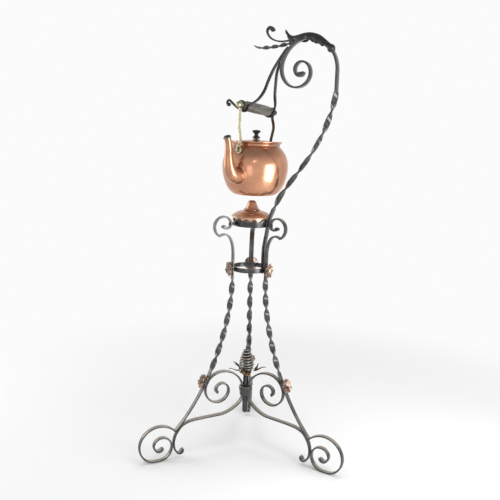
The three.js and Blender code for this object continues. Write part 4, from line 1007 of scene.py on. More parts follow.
def sweep_rod(points: Array, radii: Array, sides: int, flat: bool = False, lobes: int = 0, pitch: float = 1.0) -> Skin:
    """A round or roped rod along a path in space.

    Args:
        points: its path.
        radii: its radius at each point.
        sides: how many sides it has.
        flat: whether its ends are flat and not rounded.
        lobes: how many strands it seems to be twisted from, or 0.
        pitch: the length of one turn of its strands.

    Returns:
        The rod's skin.
    """
    p, r = points, radii
    if not flat:
        bend = np.radians([90, 62, 36, 14])
        for _ in range(2):
            p = np.vstack([p[0] + unit(p[0] - p[1]) * (r[0] * np.sin(bend))[:, None], p])
            r = np.append(np.maximum(r[0] * np.cos(bend), 0.02 * r[0]), r)
            p, r = p[::-1], r[::-1]
    tangent = unit(np.gradient(p, axis=0))
    guide = np.array([0, 1.0, 0]) if abs(tangent[0][1]) < 0.9 else np.array([1.0, 0, 0])
    normal = np.cross(guide, tangent[0])
    angle = around(sides)
    rings, wear = [], []
    for point, direction, radius, s in zip(p, tangent, r, lengths(p)):
        normal = unit(normal - direction * (normal @ direction))
        side = np.cross(direction, normal)
        strand = np.abs(np.cos(lobes / 2 * (angle - 2 * math.pi * s / pitch))) if lobes else np.ones(sides)
        reach = (radius * (0.955 + 0.045 * strand))[:, None]
        rings.append(point + reach * (np.cos(angle)[:, None] * normal + np.sin(angle)[:, None] * side))
        wear.append(strand**6 * 0.8 if lobes else 0.2 * strand)
    return Skin().rings(np.array(rings), np.array(wear))


def raised(profile: Sequence[Sequence[float]], level: float) -> list[tuple[float, ...]]:
    """A profile lifted to a level."""
    return [(r, z + level, *rest) for r, z, *rest in profile]


def softened(profile: Sequence[Sequence[float]], radius: float, closes: bool = False) -> list[tuple[float, ...]]:
    """A profile with its corners rounded.

    Args:
        profile: pairs of radius and height.
        radius: how far from a corner its rounding starts.
        closes: whether the profile joins itself.

    Returns:
        Triples of radius, height and wear.
    """
    p = [np.array(q, float) for q in profile]
    made, ends = [], () if closes else (0, len(p) - 1)
    for i, q in enumerate(p):
        a, b = p[i - 1] - q, p[(i + 1) % len(p)] - q
        la, lb = np.linalg.norm(a), np.linalg.norm(b)
        turn = 0.0 if i in ends else math.degrees(math.pi - math.acos(np.clip(a @ b / (la * lb), -1, 1)))
        if turn < LEAST_CORNER:
            made.append((q[0], q[1], 0.0))
            continue
        cut = min(radius, la * 0.42, lb * 0.42)
        start, end = q + a / la * cut, q + b / lb * cut
        for t in (0, 0.25, 0.5, 0.75, 1):
            point = (1 - t) ** 2 * start + 2 * t * (1 - t) * q + t * t * end
            made.append((point[0], point[1], min(1.0, turn / 80) * (1 - abs(2 * t - 1)) ** 0.5))
    return made


def lathe(profile: Sequence[Sequence[float]], sides: int, closes: bool = False, soft: float = 0.0) -> Skin:
    """A turned piece about the stand's axis.

    Args:
        profile: radius, height and, if given, wear.
        sides: how many sides it has.
        closes: whether the profile joins itself, or else starts and ends on the axis.
        soft: how far from its corners they are rounded.

    Returns:
        The piece's skin.
    """
    p = np.array([(*q, 0.0)[:3] for q in (softened(profile, soft, closes) if soft else profile)])
    angle, r = around(sides), np.maximum(p[:, 0], NEAR_AXIS)[:, None]
    rings = np.stack([r * np.cos(angle), r * np.sin(angle), np.broadcast_to(p[:, 1:2], (len(p), sides))], 2)
    return Skin().rings(rings, np.broadcast_to(p[:, 2:3], (len(p), sides)), closes)


def onto(start: Array, direction: Array) -> Matrix:
    """A matrix that takes +Z to a direction in the XZ plane and the origin to its start."""
    turn = Vector((0, 0, 1)).rotation_difference(Vector((direction[0], 0, direction[1])))
    return Matrix.Translation((start[0], 0, start[1])) @ turn.to_matrix().to_4x4()


# ---- geometry node trees ----


class Growth:
    """A geometry node tree with named inputs that grows a piece on a seed object."""

    def __init__(self, name: str, inputs: dict[str, tuple[str, float | int]]) -> None:
        """Starts the tree.

        Args:
            name: the tree's name.
            inputs: the kind and value of each named input.
        """
        self.tree = bpy.data.node_groups.new(name, "GeometryNodeTree")
        make = self.tree.interface.new_socket
        make("Geometry", in_out="OUTPUT", socket_type="NodeSocketGeometry")
        make("Geometry", in_out="INPUT", socket_type="NodeSocketGeometry")
        make("Material", in_out="INPUT", socket_type="NodeSocketMaterial")
        for label, (kind, value) in inputs.items():
            make(label, in_out="INPUT", socket_type=f"NodeSocket{kind}").default_value = value
        self.bench = Bench(self.tree)
        self.entry = self.bench.node("NodeGroupInput", None, None, "Geometry")

    def given(self, label: str) -> Wire:
        """The wire of a named input."""
        return self.entry.other(label)

    def close(self, geometry: Wire) -> None:
        """Ends the tree with real geometry and its material.

        Args:
            geometry: the wire of what has grown.
        """
        real = self.bench.node("GeometryNodeRealizeInstances", None, {"Geometry": geometry})
        dressed = {"Geometry": real, "Material": self.given("Material")}
        self.bench.node("NodeGroupOutput", None, {0: self.bench.node("GeometryNodeSetMaterial", None, dressed)})

    def copies(self, shape: Wire, points: Wire, turn: Wire, scale: object = (1.0, 1.0, 1.0)) -> Wire:
        """A shape's copies, one on each point.

        Args:
            shape: the shape.
            points: the points.
            turn: how each copy is turned.
            scale: how each is scaled.

        Returns:
            The copies' wire.
        """
        inputs = {"Points": points, "Instance": shape, "Rotation": turn, "Scale": scale}
        return self.bench.node("GeometryNodeInstanceOnPoints", None, inputs)

    def ring(self, count: str, spread: float) -> tuple[Wire, Wire, Wire, Wire]:
        """Points round the upright axis, all but on it.

        Args:
            count: the named input that counts them.
            spread: how far their random values reach either side of 0.

        Returns:
            The points, each one's number, the angle between them, and each one's random value.
        """
        node, number = self.bench.node, self.bench.node("GeometryNodeInputIndex")
        points = node("GeometryNodeMeshCircle", None, {"Vertices": self.given(count), "Radius": 0.00001})
        draw = {"Min": -spread, "Max": spread, "ID": number, "Seed": self.given("Seed")}
        chance = node("FunctionNodeRandomValue", {"data_type": "FLOAT"}, draw, "Value")
        return points, number, 2 * math.pi / self.given(count), chance

    def grow(self, name: str, seed: bpy.types.ID, finish: Finish, values: dict[str, float | int] | None = None,
             wall: float = 0.0) -> bpy.types.Object:
        """Grows the tree on a seed and makes it a plain mesh.

        Args:
            name: the new object's name.
            seed: a mesh or curve.
            finish: the finish of what grows.
            values: named inputs that differ from their defaults.
            wall: thickness given to a sheet, in metres.

        Returns:
            The grown object, in no collection yet.
        """
        thing = shown(bpy.data.objects.new(name + "_seed", seed))
        modifier = thing.modifiers.new("growth", "NODES")
        modifier.node_group = self.tree
        sockets = {s.name: s.identifier for s in self.tree.interface.items_tree if s.in_out == "INPUT"}
        modifier[sockets["Material"]] = finish.material()
        for label, value in (values or {}).items():
            modifier[sockets[label]] = value
        if wall:
            solid = thing.modifiers.new("wall", "SOLIDIFY")
            solid.thickness, solid.offset = wall, 0.0
        made = evaluated(thing, name)
        made.data.shade_smooth()
        made.data.set_sharp_from_angle(angle=math.radians(SHARP))
        return made


class Wirework(Growth):
    """Wire that follows a path."""

    def __init__(self) -> None:
        """Builds the tree: a round section carried along the path."""
        super().__init__("wirework", {"Wire Radius": ("Float", 0.002), "Sides": ("Int", 12)})
        size = {"Resolution": self.given("Sides"), "Radius": self.given("Wire Radius")}
        section = self.bench.node("GeometryNodeCurvePrimitiveCircle", {"mode": "RADIUS"}, size)
        drawn = {"Curve": self.entry, "Profile Curve": section, "Fill Caps": True}
        self.close(self.bench.node("GeometryNodeCurveToMesh", None, drawn))

    def wire(self, name: str, points: Array, radius: float, finish: Finish, sides: int = 12) -> bpy.types.Object:
        """Grows wire on a path.

        Args:
            name: the piece's name.
            points: the path in millimetres.
            radius: the wire's radius in millimetres.
            finish: its finish.
            sides: how many sides the wire has.

        Returns:
            The wire's object.
        """
        data = bpy.data.curves.new(name + "_path", "CURVE")
        data.dimensions, data.twist_mode = "3D", "MINIMUM"
        line = data.splines.new("POLY")
        line.points.add(len(points) - 1)
        placed = np.column_stack([(points + [AXIS_X, 0, 0]) * MM, np.ones(len(points))])
        line.points.foreach_set("co", placed.reshape(-1))
        return self.grow(name, data, finish, {"Wire Radius": radius * MM, "Sides": sides})


class Rivets(Growth):
    """Domed rivet heads on points that carry a direction."""

    def __init__(self) -> None:
        """Builds the tree: a flattened ball on each point, turned along its direction."""
        super().__init__("rivets", {"Head Radius": ("Float", 0.004), "Head Height": ("Float", 0.0024)})
        node, radius = self.bench.node, self.given("Head Radius")
        ball = node("GeometryNodeMeshUVSphere", None, {"Segments": 18, "Rings": 10, "Radius": 1.0})
        size = self.bench.vector(radius, radius, self.given("Head Height"))
        head = node("GeometryNodeTransform", None, {"Geometry": ball, "Scale": size})
        kind = {"data_type": "FLOAT_VECTOR"}
        toward = node("GeometryNodeInputNamedAttribute", kind, {"Name": "direction"}, "Attribute")
        turn = node("FunctionNodeAlignRotationToVector", {"axis": "Z"}, {"Vector": toward})
        self.close(self.copies(head, self.entry, turn))

    def heads(self, name: str, places: Array, directions: Array, radius: float, height: float,
              finish: Finish) -> bpy.types.Object:
        """Grows rivet heads.

        Args:
            name: the piece's name.
            places: their seats, in millimetres.
            directions: the way each head stands out.
            radius: their radius in millimetres.
            height: how far they stand out, in millimetres.
            finish: their finish.

        Returns:
            The heads as one object.
        """
        seed = bpy.data.meshes.new(name + "_places")
        seed.from_pydata(((places + [AXIS_X, 0, 0]) * MM).tolist(), [], [])
        ways = seed.attributes.new("direction", "FLOAT_VECTOR", "POINT")
        ways.data.foreach_set("vector", directions.astype(np.float32).reshape(-1))
        return self.grow(name, seed, finish, {"Head Radius": radius * MM, "Head Height": height * MM})


class PressedFlowers(Growth):
    """Pressed flowers: two rows of cupped, ruffled petals."""

    def __init__(self) -> None:
        """Builds the tree: a sheet shaped as a petal and set round a circle, twice."""
        sizes = {"Petals": ("Int", 5), "Reach": ("Float", 0.015), "Depth": ("Float", 0.0082), "Seed": ("Int", 3)}
        super().__init__("pressed_flower", sizes)
        rows = self._row(1.0, 0.0, 1.0), self._row(0.66, 0.5, 0.72)
        joined = self.bench.node("GeometryNodeJoinGeometry")
        for row in rows:
            self.bench.tree.links.new(row.socket, joined.socket.node.inputs[0])
        self.close(joined)

    def _row(self, reach_share: float, turn: float, depth_share: float) -> Wire:
        """One row of petals.

        Args:
            reach_share: the row's reach as a share of the flower's.
            turn: how far it is turned, in petals.
            depth_share: its depth as a share of the flower's.

        Returns:
            The row's geometry.
        """
        bench = self.bench
        grid = bench.node("GeometryNodeMeshGrid", None, {"Size X": 2, "Size Y": 1, "Vertices X": 15, "Vertices Y": 12})
        across = bench.node("ShaderNodeSeparateXYZ", None, {0: bench.node("GeometryNodeInputPosition")}, "X")
        out = across.other("Y") + 0.5
        reach, depth = self.given("Reach") * reach_share, self.given("Depth") * depth_share
        rim = out**4.0
        radial = reach * (0.16 + 0.84 * out) * (1.0 - 0.16 * across * across * out)
        spread = (math.pi * (0.1 + 0.62 * out)).sine() * reach * 0.66
        ruffle = (across * 8.4 + out * 2.0).sine() * rim * depth * 0.14
        cup = depth * (0.1 + 0.95 * out**1.5) - depth * 0.42 * rim * (across * across)
        height = cup + ruffle + depth * 0.12 * (1.0 - across.size()) * out
        place = bench.vector(radial, spread * across, height)
        petal = bench.node("GeometryNodeSetPosition", None, {"Geometry": grid, "Position": place})
        painted = {"Geometry": petal, "Name": "wear", "Value": out.ramp(0.45, 0.95) * 0.9}
        petal = bench.node("GeometryNodeStoreNamedAttribute", {"data_type": "FLOAT", "domain": "POINT"}, painted)
        points, number, step, chance = self.ring("Petals", 0.09)
        lean = bench.vector(chance * 0.8 + 0.16, chance, (number + turn) * step + chance)
        return self.copies(petal, points, lean, bench.vector(1.0, 1.0 - chance, 1.0 + chance))


class Whorl(Growth):
    """Copies of one leaf set round an upright axis."""

    def __init__(self) -> None:
        """Builds the tree: the seed leaf on the points of a circle, each a little different."""
        sizes = {"Count": ("Int", 4), "Turn": ("Float", 0.0), "Liveliness": ("Float", 0.07), "Seed": ("Int", 1)}
        super().__init__("whorl", sizes)
        points, number, step, chance = self.ring("Count", 1.0)
        lively = chance * self.given("Liveliness")
        lean = self.bench.vector(lively * 0.5, lively, number * step + self.given("Turn") + lively)
        self.close(self.copies(self.entry, points, lean, self.bench.vector(*[1.0 + lively] * 3)))


# ---- shared places ----


@dataclass(frozen=True)
class Levels:
    """Heights, radii and places where the parts meet."""

    ring: float = 410.0
    stud: float = 507.0
    gallery: float = 502.0
    rosette: float = 163.0
    toe: float = 72.0
    collar_bottom: float = 116.0
    collar_top: float = 142.0
    rod_bottom: float = 77.0
    rod_top: float = 165.0
    leg_ring_radius: float = 41.2
    arm_ring_radius: float = 33.69
    arm_gallery_radius: float = 41.45
    scroll_radius: float = 48.45
    bar_spacing: float = 3.9
    kettle_x: float = 4.5
    grip: float = 746.1
    grip_slope: float = 0.07
    ears: float = 662.0


LEVELS = Levels()


@dataclass
class LegLine:
    """The line that a leg follows, and the seats on it."""

    half_turns: float = 6.0
    twist_start: float = 389.0
    twist_top: float = 385.0
    twist_bottom: float = 190.0
    twist_steps: int = 22
    half_bar: float = 1.8

    def __post_init__(self) -> None:
        """Lays out the head scroll, the body and the foot."""
        at = np.array
        seat = at([LEVELS.scroll_radius, LEVELS.stud])
        self.head_curl = curl(seat, -90, 9.6, 8.4, 169)[::-1]
        self.head_arch = curl(seat, 90, 14.2, 25.3, -237)
        shoulder = at([LEVELS.leg_ring_radius, LEVELS.ring + 28])
        top = at([LEVELS.leg_ring_radius, self.twist_top])
        self.neck = Bow(self.head_arch[-1], 148, 20, shoulder, -90, 42)
        twisted = at([LEVELS.leg_ring_radius, self.twist_start])
        self.straight, self.lead = np.linspace(shoulder, twisted, 10), np.linspace(twisted, top, 5)
        self.foot_arch = curl(at([210.0, 1.8]), 0, 32.1, 49, 229)
        self.foot_curl = curl(at([202.0, 1.8]), 180, 30.9, 2.3, -475)
        self.body = Bow(top, -90, 110, self.foot_arch[-1], -45.4, 100)

    def run(self) -> Run:
        """Joins the leg from its head scroll to its foot scroll.

        Returns:
            The whole leg's run.
        """
        t_end = self.body.station(self.twist_bottom)[0]
        twisted = np.vstack([self.lead[:-1], self.body.points(90, 0, t_end)])
        return Run.join(self.head_curl, self.head_arch, self.neck.points(26), self.straight,
            (evenly(twisted, int(self.half_turns * self.twist_steps)), self.half_turns),
            self.body.points(40, t_end, 1), self.foot_arch[::-1], self.foot_curl)

    def seat(self, height: float, inward: float) -> tuple[Array, Array, float]:
        """A seat beside the leg's body.

        Args:
            height: its height on the leg.
            inward: how far inside the leg's line it lies.

        Returns:
            The seat, the inward direction and the leg's heading there.
        """
        _, point, degrees = self.body.station(height)
        along = heading(degrees)
        direction = np.array([along[1], -along[0]])
        return point + direction * inward, direction, degrees

    def joints(self) -> tuple[tuple[str, Array, Array], ...]:
        """Finds the leg's two riveted joints.

        Returns:
            The name, the place and the outward direction of each.
        """
        seat, inward, _ = self.seat(LEVELS.rosette, 0.0)
        upper = np.array([LEVELS.leg_ring_radius + self.half_bar, LEVELS.ring])
        return ("upper", upper, heading(0)), ("lower", seat - inward * self.half_bar, -inward)


LEG = LegLine()


@dataclass(frozen=True)
class CrownLine:
    """The arch of the crane arm's crown."""

    start: tuple[float, float] = (182.4, 817.0)
    turn: float = 162.0
    radii: tuple[float, float] = (64.6, 60.0)

    def at(self, turn: float, offset: float = 0.0) -> Array:
        """A place set off from the bar's middle, by the degrees that its heading has turned."""
        point = curl_at(np.array(self.start), 90, *self.radii, self.turn, np.array([turn / self.turn]))[0]
        return point + heading(turn) * offset


CROWN = CrownLine()


# ---- sub-assemblies ----


@dataclass
class Tripod:
    """Three twisted legs with scrolled heads and feet, and the scrolled braces inside them."""

    width: float = 9.25
    thickness: float = 3.42
    knob: float = 6.4
    collar_x: float = 8.45
    drawn_in: float = 0.999

    def build(self) -> None:
        """Makes the legs and the braces."""
        for i, azimuth in enumerate(LEG_AZIMUTHS):
            self.leg(i).spun(azimuth).piece(f"scrolled_leg_{i + 1}", IRON, "stand", f"leg_{i + 1}")
            self.brace(i).spun(azimuth).piece(f"scrolled_brace_{i + 1}", IRON, "stand", f"brace_{i + 1}")

    def leg(self, index: int) -> Skin:
        """One leg, with thickened eyes at both scrolls and its heaviest stretch where it is twisted.

        Args:
            index: its number.

        Returns:
            The leg's skin.
        """
        run = LEG.run()
        s, total = run.along, run.along[-1]
        upper, lower = (s[run.points[:, 1] < z][0] for z in (LEG.twist_start, LEG.twist_bottom))
        twisted = smooth(upper - 6, upper + 16, s) * (1 - smooth(lower - 22, lower - 2, s))
        plain = 1.1 - 0.1 * smooth(lower, lower + 90, s)
        ends = (1 - smooth(2, 12, s)) * 1.5 + smooth(total - 24, total - 6, s) * 1.15
        thick = self.thickness * (plain + 0.12 * twisted) + (self.knob - self.thickness) * ends
        wide = self.width * (plain + 0.22 * twisted) * (1 - 0.1 * (1 - smooth(0, 20, s)))
        skin = forged_bar(run, wide, thick, 1.0 + 2.1 * index)
        skin.points[:, 0] *= self.drawn_in
        return skin

    def brace(self, index: int) -> Skin:
        """One brace: an eye, a scroll to the leg, a bend through the collar, and a long toe.

        Args:
            index: its number.

        Returns:
            The brace's skin.
        """
        at = np.array
        seat, _, degrees = LEG.seat(LEVELS.rosette, LEVELS.bar_spacing)
        toe, _, toe_degrees = LEG.seat(LEVELS.toe, LEVELS.bar_spacing)
        top, bottom = at([self.collar_x, LEVELS.collar_top + 2]), at([self.collar_x, LEVELS.collar_bottom - 1.5])
        elbow = at([62.0, 83.5])
        scroll = curl(seat, degrees, 36.5, 14, -300)
        eye = curl(scroll[-1], degrees - 300, 15, 6.4, -160)
        toe_curl = curl(toe, toe_degrees, 62, 21, -85)
        toe_eye = curl(toe_curl[-1], toe_degrees - 85, 8.5, 2.6, -200)
        run = Run.join(eye[::-1], scroll[::-1], Bow(top, 73, 46, seat, degrees, 38).points(40)[::-1],
            np.linspace(top, bottom, 8), Bow(bottom, -78, 9, elbow, -2, 26).points(36),
            Bow(elbow, -2, 52, toe, toe_degrees, 20).points(30), toe_curl, toe_eye)
        s, total = run.along, run.along[-1]
        ends = (1 - smooth(6, 24, s)) * 0.9 + smooth(total - 18, total - 5, s) * 1.1
        thick = self.thickness * 1.04 + (self.knob - self.thickness) * ends
        wide = self.width * (1.08 - 0.16 * (1 - smooth(0, 40, s)))
        return forged_bar(run, wide, thick, 4.0 + 1.3 * index)


@dataclass
class Ironmongery:
    """The ring, the gallery with its studs, the rivets, the centre rod and the braces' collar."""

    scallops: int = 12
    valley: float = 9.0
    rise: float = 7.0

    def build(self) -> None:
        """Makes each piece."""
        self.ring()
        self.gallery()
        self.collar()
        for i, azimuth in enumerate(LEG_AZIMUTHS):
            self.rivets(i, azimuth)
            self.stud(i, azimuth)

    def ring(self) -> None:
        """The forged ring that ties the legs."""
        z = LEVELS.ring
        skin = lathe([(36.1, z - 4.9), (39.0, z - 4.9), (39.0, z + 4.9), (36.1, z + 4.9)], 128, True, 0.8)
        lift = np.arctan2(skin.points[:, 1], skin.points[:, 0])
        skin.points[:, 2] += 0.1 * np.sin(9 * lift) + 0.08 * np.sin(23 * lift + 1)
        skin.piece("tie_ring", IRON, "stand", "top_ring")

    def gallery(self) -> None:
        """The scalloped band and ledge that hold the lamp."""
        floor = LEVELS.gallery
        rings = []
        for angle in around(self.scallops * 20):
            swell = abs(math.sin(self.scallops * angle / 2))
            top = floor + self.valley + self.rise * swell**0.75
            lean = 2.4 / (self.valley + self.rise)
            outer = 38 + lean * (top - floor)
            middle = floor + (top - floor) * 0.6
            belly = 38 + lean * (middle - floor) + 0.25 * swell
            profile = [(38, floor + 0.4), (38.1, floor + 1), (belly, middle), (outer + 0.15, top - 0.5),
                (outer - 0.1, top), (outer - 0.8, top), (outer - 1.05, top - 0.4), (belly - 1.2, middle),
                (36.8, floor + 1.4), (36.4, floor + 1.2), (32.3, floor + 1.2), (32, floor + 0.9), (32, floor + 0.2),
                (32.3, floor), (37.6, floor)]
            rings.append([(r * math.cos(angle), r * math.sin(angle), z) for r, z in profile])
        wear = np.array([0.4, 0, 0, 0.8, 1, 1, 0.6, 0, 0, 0, 0.3, 0.5, 0.3, 0.3, 0.4])
        Skin().rings(np.array(rings), wear, True).piece("scalloped_gallery", IRON, "stand", "gallery")

    def collar(self) -> None:
        """The wrapped collar, with the round drop rod through it."""
        low, high = LEVELS.collar_bottom + 4.5, LEVELS.collar_top
        profile = [(11.6, low), (12.4, low), (13, low + 0.9), (13.2, low + 4), (13.4, low + 8), (14.2, low + 10.5),
            (14.9, low + 13.5), (15, high - 4), (14.7, high - 1.6), (13.6, high), (11.6, high)]
        skin = lathe(profile, 96, True, 0.7)
        angle = np.arctan2(skin.points[:, 1], skin.points[:, 0])
        flat = 1 + 0.012 * np.sin(3 * angle + 0.4) + 0.008 * np.sin(11 * angle)
        skin.points[:, :2] *= flat[:, None]
        skin.piece("brace_binding", IRON, "stand", "brace_collar")
        top = LEVELS.rod_top
        rod = raised([(0, 0), (1.9, 0.3), (3.8, 1.3), (5.2, 3), (6.05, 5.2), (6.3, 7.5)], LEVELS.rod_bottom)
        rod += [(6.3, top - 0.6), (5.8, top), (2, top), (2, 226.8), (1.6, 227.3), (0, 227.3)]
        lathe(rod, 48, soft=0.4).piece("round_drop_rod", ARM_IRON, "stand", "drop_rod")

    def rivets(self, index: int, azimuth: float) -> None:
        """The riveted joints behind a leg's two rosettes, the first leg's with the arm in it.

        Args:
            index: the leg's number.
            azimuth: the way the leg stands, in degrees.
        """
        depths = {"upper": 10.8 if index == 0 else 6.9, "lower": 7.5}
        for name, start, outward in LEG.joints():
            tail = -depths[name] - 0.9
            profile = [(0, tail - 1.2), (2, tail - 1.1), (3.1, tail - 0.2), (3.1, tail), (2, tail), (2, 2.3),
                (4.1, 2.3), (4.1, 2.9), (3.7, 3.8), (2.7, 4.6), (1.4, 5.05), (0, 5.15)]
            skin = lathe(profile, 28, soft=0.3).moved(onto(start, outward)).spun(azimuth)
            skin.piece(f"rivet_{name}_{index + 1}_forged", IRON, "stand", f"rivet_{name}_{index + 1}")

    def stud(self, index: int, azimuth: float) -> None:
        """The shouldered stud between the gallery and a leg's head scroll.

        Args:
            index: the leg's number.
            azimuth: the way the leg stands, in degrees.
        """
        shoulder = 44.15 if index == 0 else 39.56
        profile = [(0, 37.6), (1.7, 37.7), (2, 38.1), (2, shoulder), (3.3, shoulder), (3.3, 46.3), (2, 46.3),
            (2, 51.4), (3.2, 51.4), (3.1, 52.2), (2.3, 52.8), (0, 53.1)]
        skin = lathe(profile, 28, soft=0.3).moved(onto(np.array([0, LEVELS.stud]), heading(0)))
        skin.spun(azimuth).piece(f"stud_{index + 1}_turned", IRON, "stand", f"gallery_stud_{index + 1}")


@dataclass
class Rosettes:
    """Pressed copper flowers over the riveted joints, two to a leg."""

    reach: float = 15.2
    depth: float = 6.4
    sheet: float = 0.7
    clearance: float = 0.9

    def build(self) -> None:
        """Grows all six flowers."""
        tree = PressedFlowers()
        for i, azimuth in enumerate(LEG_AZIMUTHS):
            for name, start, outward in LEG.joints():
                number = 2 * i + (name == "lower")
                sizes = {"Petals": 5 + (number % 2), "Reach": self.reach * MM, "Depth": self.depth * MM,
                    "Seed": 3 + 4 * number}
                seed = bpy.data.meshes.new("flower_seed")
                flower = tree.grow(f"pressed_flower_{name}_{i + 1}", seed, FLOWER_COPPER, sizes, self.sheet * MM)
                turn = Matrix.Rotation(math.radians(azimuth), 4, "Z") @ onto(start + outward * self.clearance, outward)
                set_down(flower, turn @ Matrix.Rotation(math.radians(24 + 31 * number), 4, "Z"))
                settle(flower, FLOWER_COPPER, "stand", f"rosette_{name}_{i + 1}")


def set_down(thing: bpy.types.Object, matrix: Matrix) -> None:
    """Moves a mesh made about the origin to its place.

    Args:
        thing: the mesh's object.
        matrix: the move, in millimetres.
    """
    place = matrix.copy()
    place.translation = place.translation * MM
    thing.data.transform(Matrix.Translation((AXIS_X * MM, 0, 0)) @ place)


def blade(spine: Array, half_width: Array, thickness: Array, hollow: Array, steps: int = 7) -> Skin:
    """A thin leaf along a run in the XZ plane, hollowed across its width.

    Args:
        spine: its middle line.
        half_width: half its width at each point.
        thickness: its thickness at each point.
        hollow: how far its edges stand above its middle.
        steps: steps from its middle to each edge.

    Returns:
        The leaf's skin.
    """
    u = np.linspace(-1, 1, 2 * steps + 1)
    side = np.repeat([1, -1], len(u))
    u = np.append(u, u[::-1])
    tangent = unit(np.gradient(spine, axis=0))
    body = thickness[:, None] / 2 * (1 - 0.55 * u**4) * side
    lift = hollow[:, None] * np.abs(u) ** 1.6 + body
    rings = np.stack([spine[:, :1] - tangent[:, 1:] * lift, half_width[:, None] * u,
        spine[:, 1:] + tangent[:, :1] * lift], 2)
    return Skin().rings(rings, smooth(0.72, 1.0, np.abs(u)))


@dataclass
class Finial:
    """A beehive of wound wire in a brass calyx, with a twisted point on top."""

    wire: float = 4.0
    drawn_radius: float = 2.08
    turns: int = 8
    cage_height: float = 53.0
    reach: float = 34.5
    rise: float = 25.5

    def build(self) -> None:
        """Makes the calyx, the cage and the point."""
        self.calyx()
        self.cage()
        self.point()

    def calyx(self) -> None:
        """A turned cup, a whorl of small petals round it, and two tiers of long leaves."""
        f = LEVELS.rod_top + 0.3
        cup = raised([(2.3, 0), (6.4, 0), (7.2, 1.9), (6.9, 2.8), (5.9, 4), (7.4, 6.2), (8.9, 8.1), (9.4, 8.7),
            (2.3, 8.7)], f)
        lathe(cup, 64, True, 0.5).piece("calyx_cup", CALYX_BRASS, "stand", "finial_calyx")
        tree = Whorl()
        t = np.linspace(0, 1, 30)
        tiers = (
            ("calyx_leaves_low", 5, 0.54, 3, [(6, 4), (self.reach * 0.5, 3), (self.reach * 0.62, self.rise * 0.62),
                                             (self.reach * 0.93, self.rise * 0.52)], 3.0, LEAF_BRASS),
            ("calyx_leaves_high", 5, -0.09, 8, [(6.4, 5), (15, 8), (17, self.rise * 1.02),
                                                (self.reach * 0.8, self.rise * 0.97)], 2.8, LEAF_BRASS),
            ("calyx_petals", 8, 0.2, 5, [(6.2, 1.2), (10.4, 2.4), (12.4, 8), (12.2, 15.4)], 3.4, CALYX_BRASS),
        )
        for name, count, turn, seed, controls, half, finish in tiers:
            spine = bezier(*np.array(raised(controls, f)), t)
            wide = 0.35 + half * np.sin(math.pi * (1 - t) ** 0.75 * 0.6) * (1 - 0.12 * np.cos(9 * t))
            leaf = blade(spine, wide, 0.5 + 0.45 * (1 - t), wide * 0.38)
            grown = tree.grow(name, leaf.mesh(name, shift=0.0), finish, {"Count": count, "Turn": turn, "Seed": seed})
            set_down(grown, Matrix.Identity(4))
            settle(grown, finish, "stand")

    def cage(self) -> None:
        """The wound wire: a beehive of close turns."""
        foot = LEVELS.rod_top + 9.3
        steps = self.turns * 40
        t = np.linspace(0, 1, steps + 1)
        radius = 7.6 + (3.4 + self.wire / 2 - 7.6) * t + 7.4 * np.sin(math.pi * t**0.62)
        angle = 2 * math.pi * self.turns * t
        z = foot + self.wire / 2 + 0.3 + (self.cage_height - self.wire) * t
        p = np.stack([radius * np.cos(angle), radius * np.sin(angle), z], 1)
        made = Wirework().wire("beehive_cage", p, self.drawn_radius, CAGE_IRON, 14)
        mesh = made.data
        # Painted light: the cage's wear attribute is set from how far each point looks outward and upward, so the
        # wires' upper, outward halves are painted pale as if lit from above and their lower halves stay dark.
        outward = measured(mesh.vertices, "co") - [AXIS_X * MM, 0, 0]
        outward[:, 2] = 0
        normals = measured(mesh.vertex_normals, "vector")
        lit_side = 0.75 * (normals * unit(outward)).sum(1) + 0.6 * normals[:, 2]
        wear = mesh.attributes.get("wear") or mesh.attributes.new("wear", "FLOAT", "POINT")
        wear.data.foreach_set("value", smooth(0.35, 0.95, lit_side).astype(np.float32))
        settle(made, CAGE_IRON, "stand", "finial_cage")

    def point(self) -> None:
        """The twisted point that ends the finial."""
        foot = LEVELS.rod_top + 62.6
        ball = lathe(raised([(0, 0), (1.6, 0.2), (2.8, 1.2), (3.3, 2.6), (2.9, 4), (1.9, 5), (1.4, 5.4), (0, 5.5)],
            foot), 32)
        t = np.linspace(0, 1, 110)
        half = 1.75 * (1 - t) + 0.42 * t
        spin = t * 9 * math.pi
        a = around(16)
        square = 1 / np.maximum(np.abs(np.cos(a)), np.abs(np.sin(a))) ** 0.8
        rings = np.stack([half[:, None] * square * np.cos(a + spin[:, None]) * 0.82,
            half[:, None] * square * np.sin(a + spin[:, None]) * 0.82,
            np.broadcast_to((foot + 3 + 29.6 * t)[:, None], (110, 16))], 2)
        ball.add(Skin().rings(rings, (square - 1) / 0.32)).piece("twisted_point", POLISHED_IRON, "stand", "finial_tip")


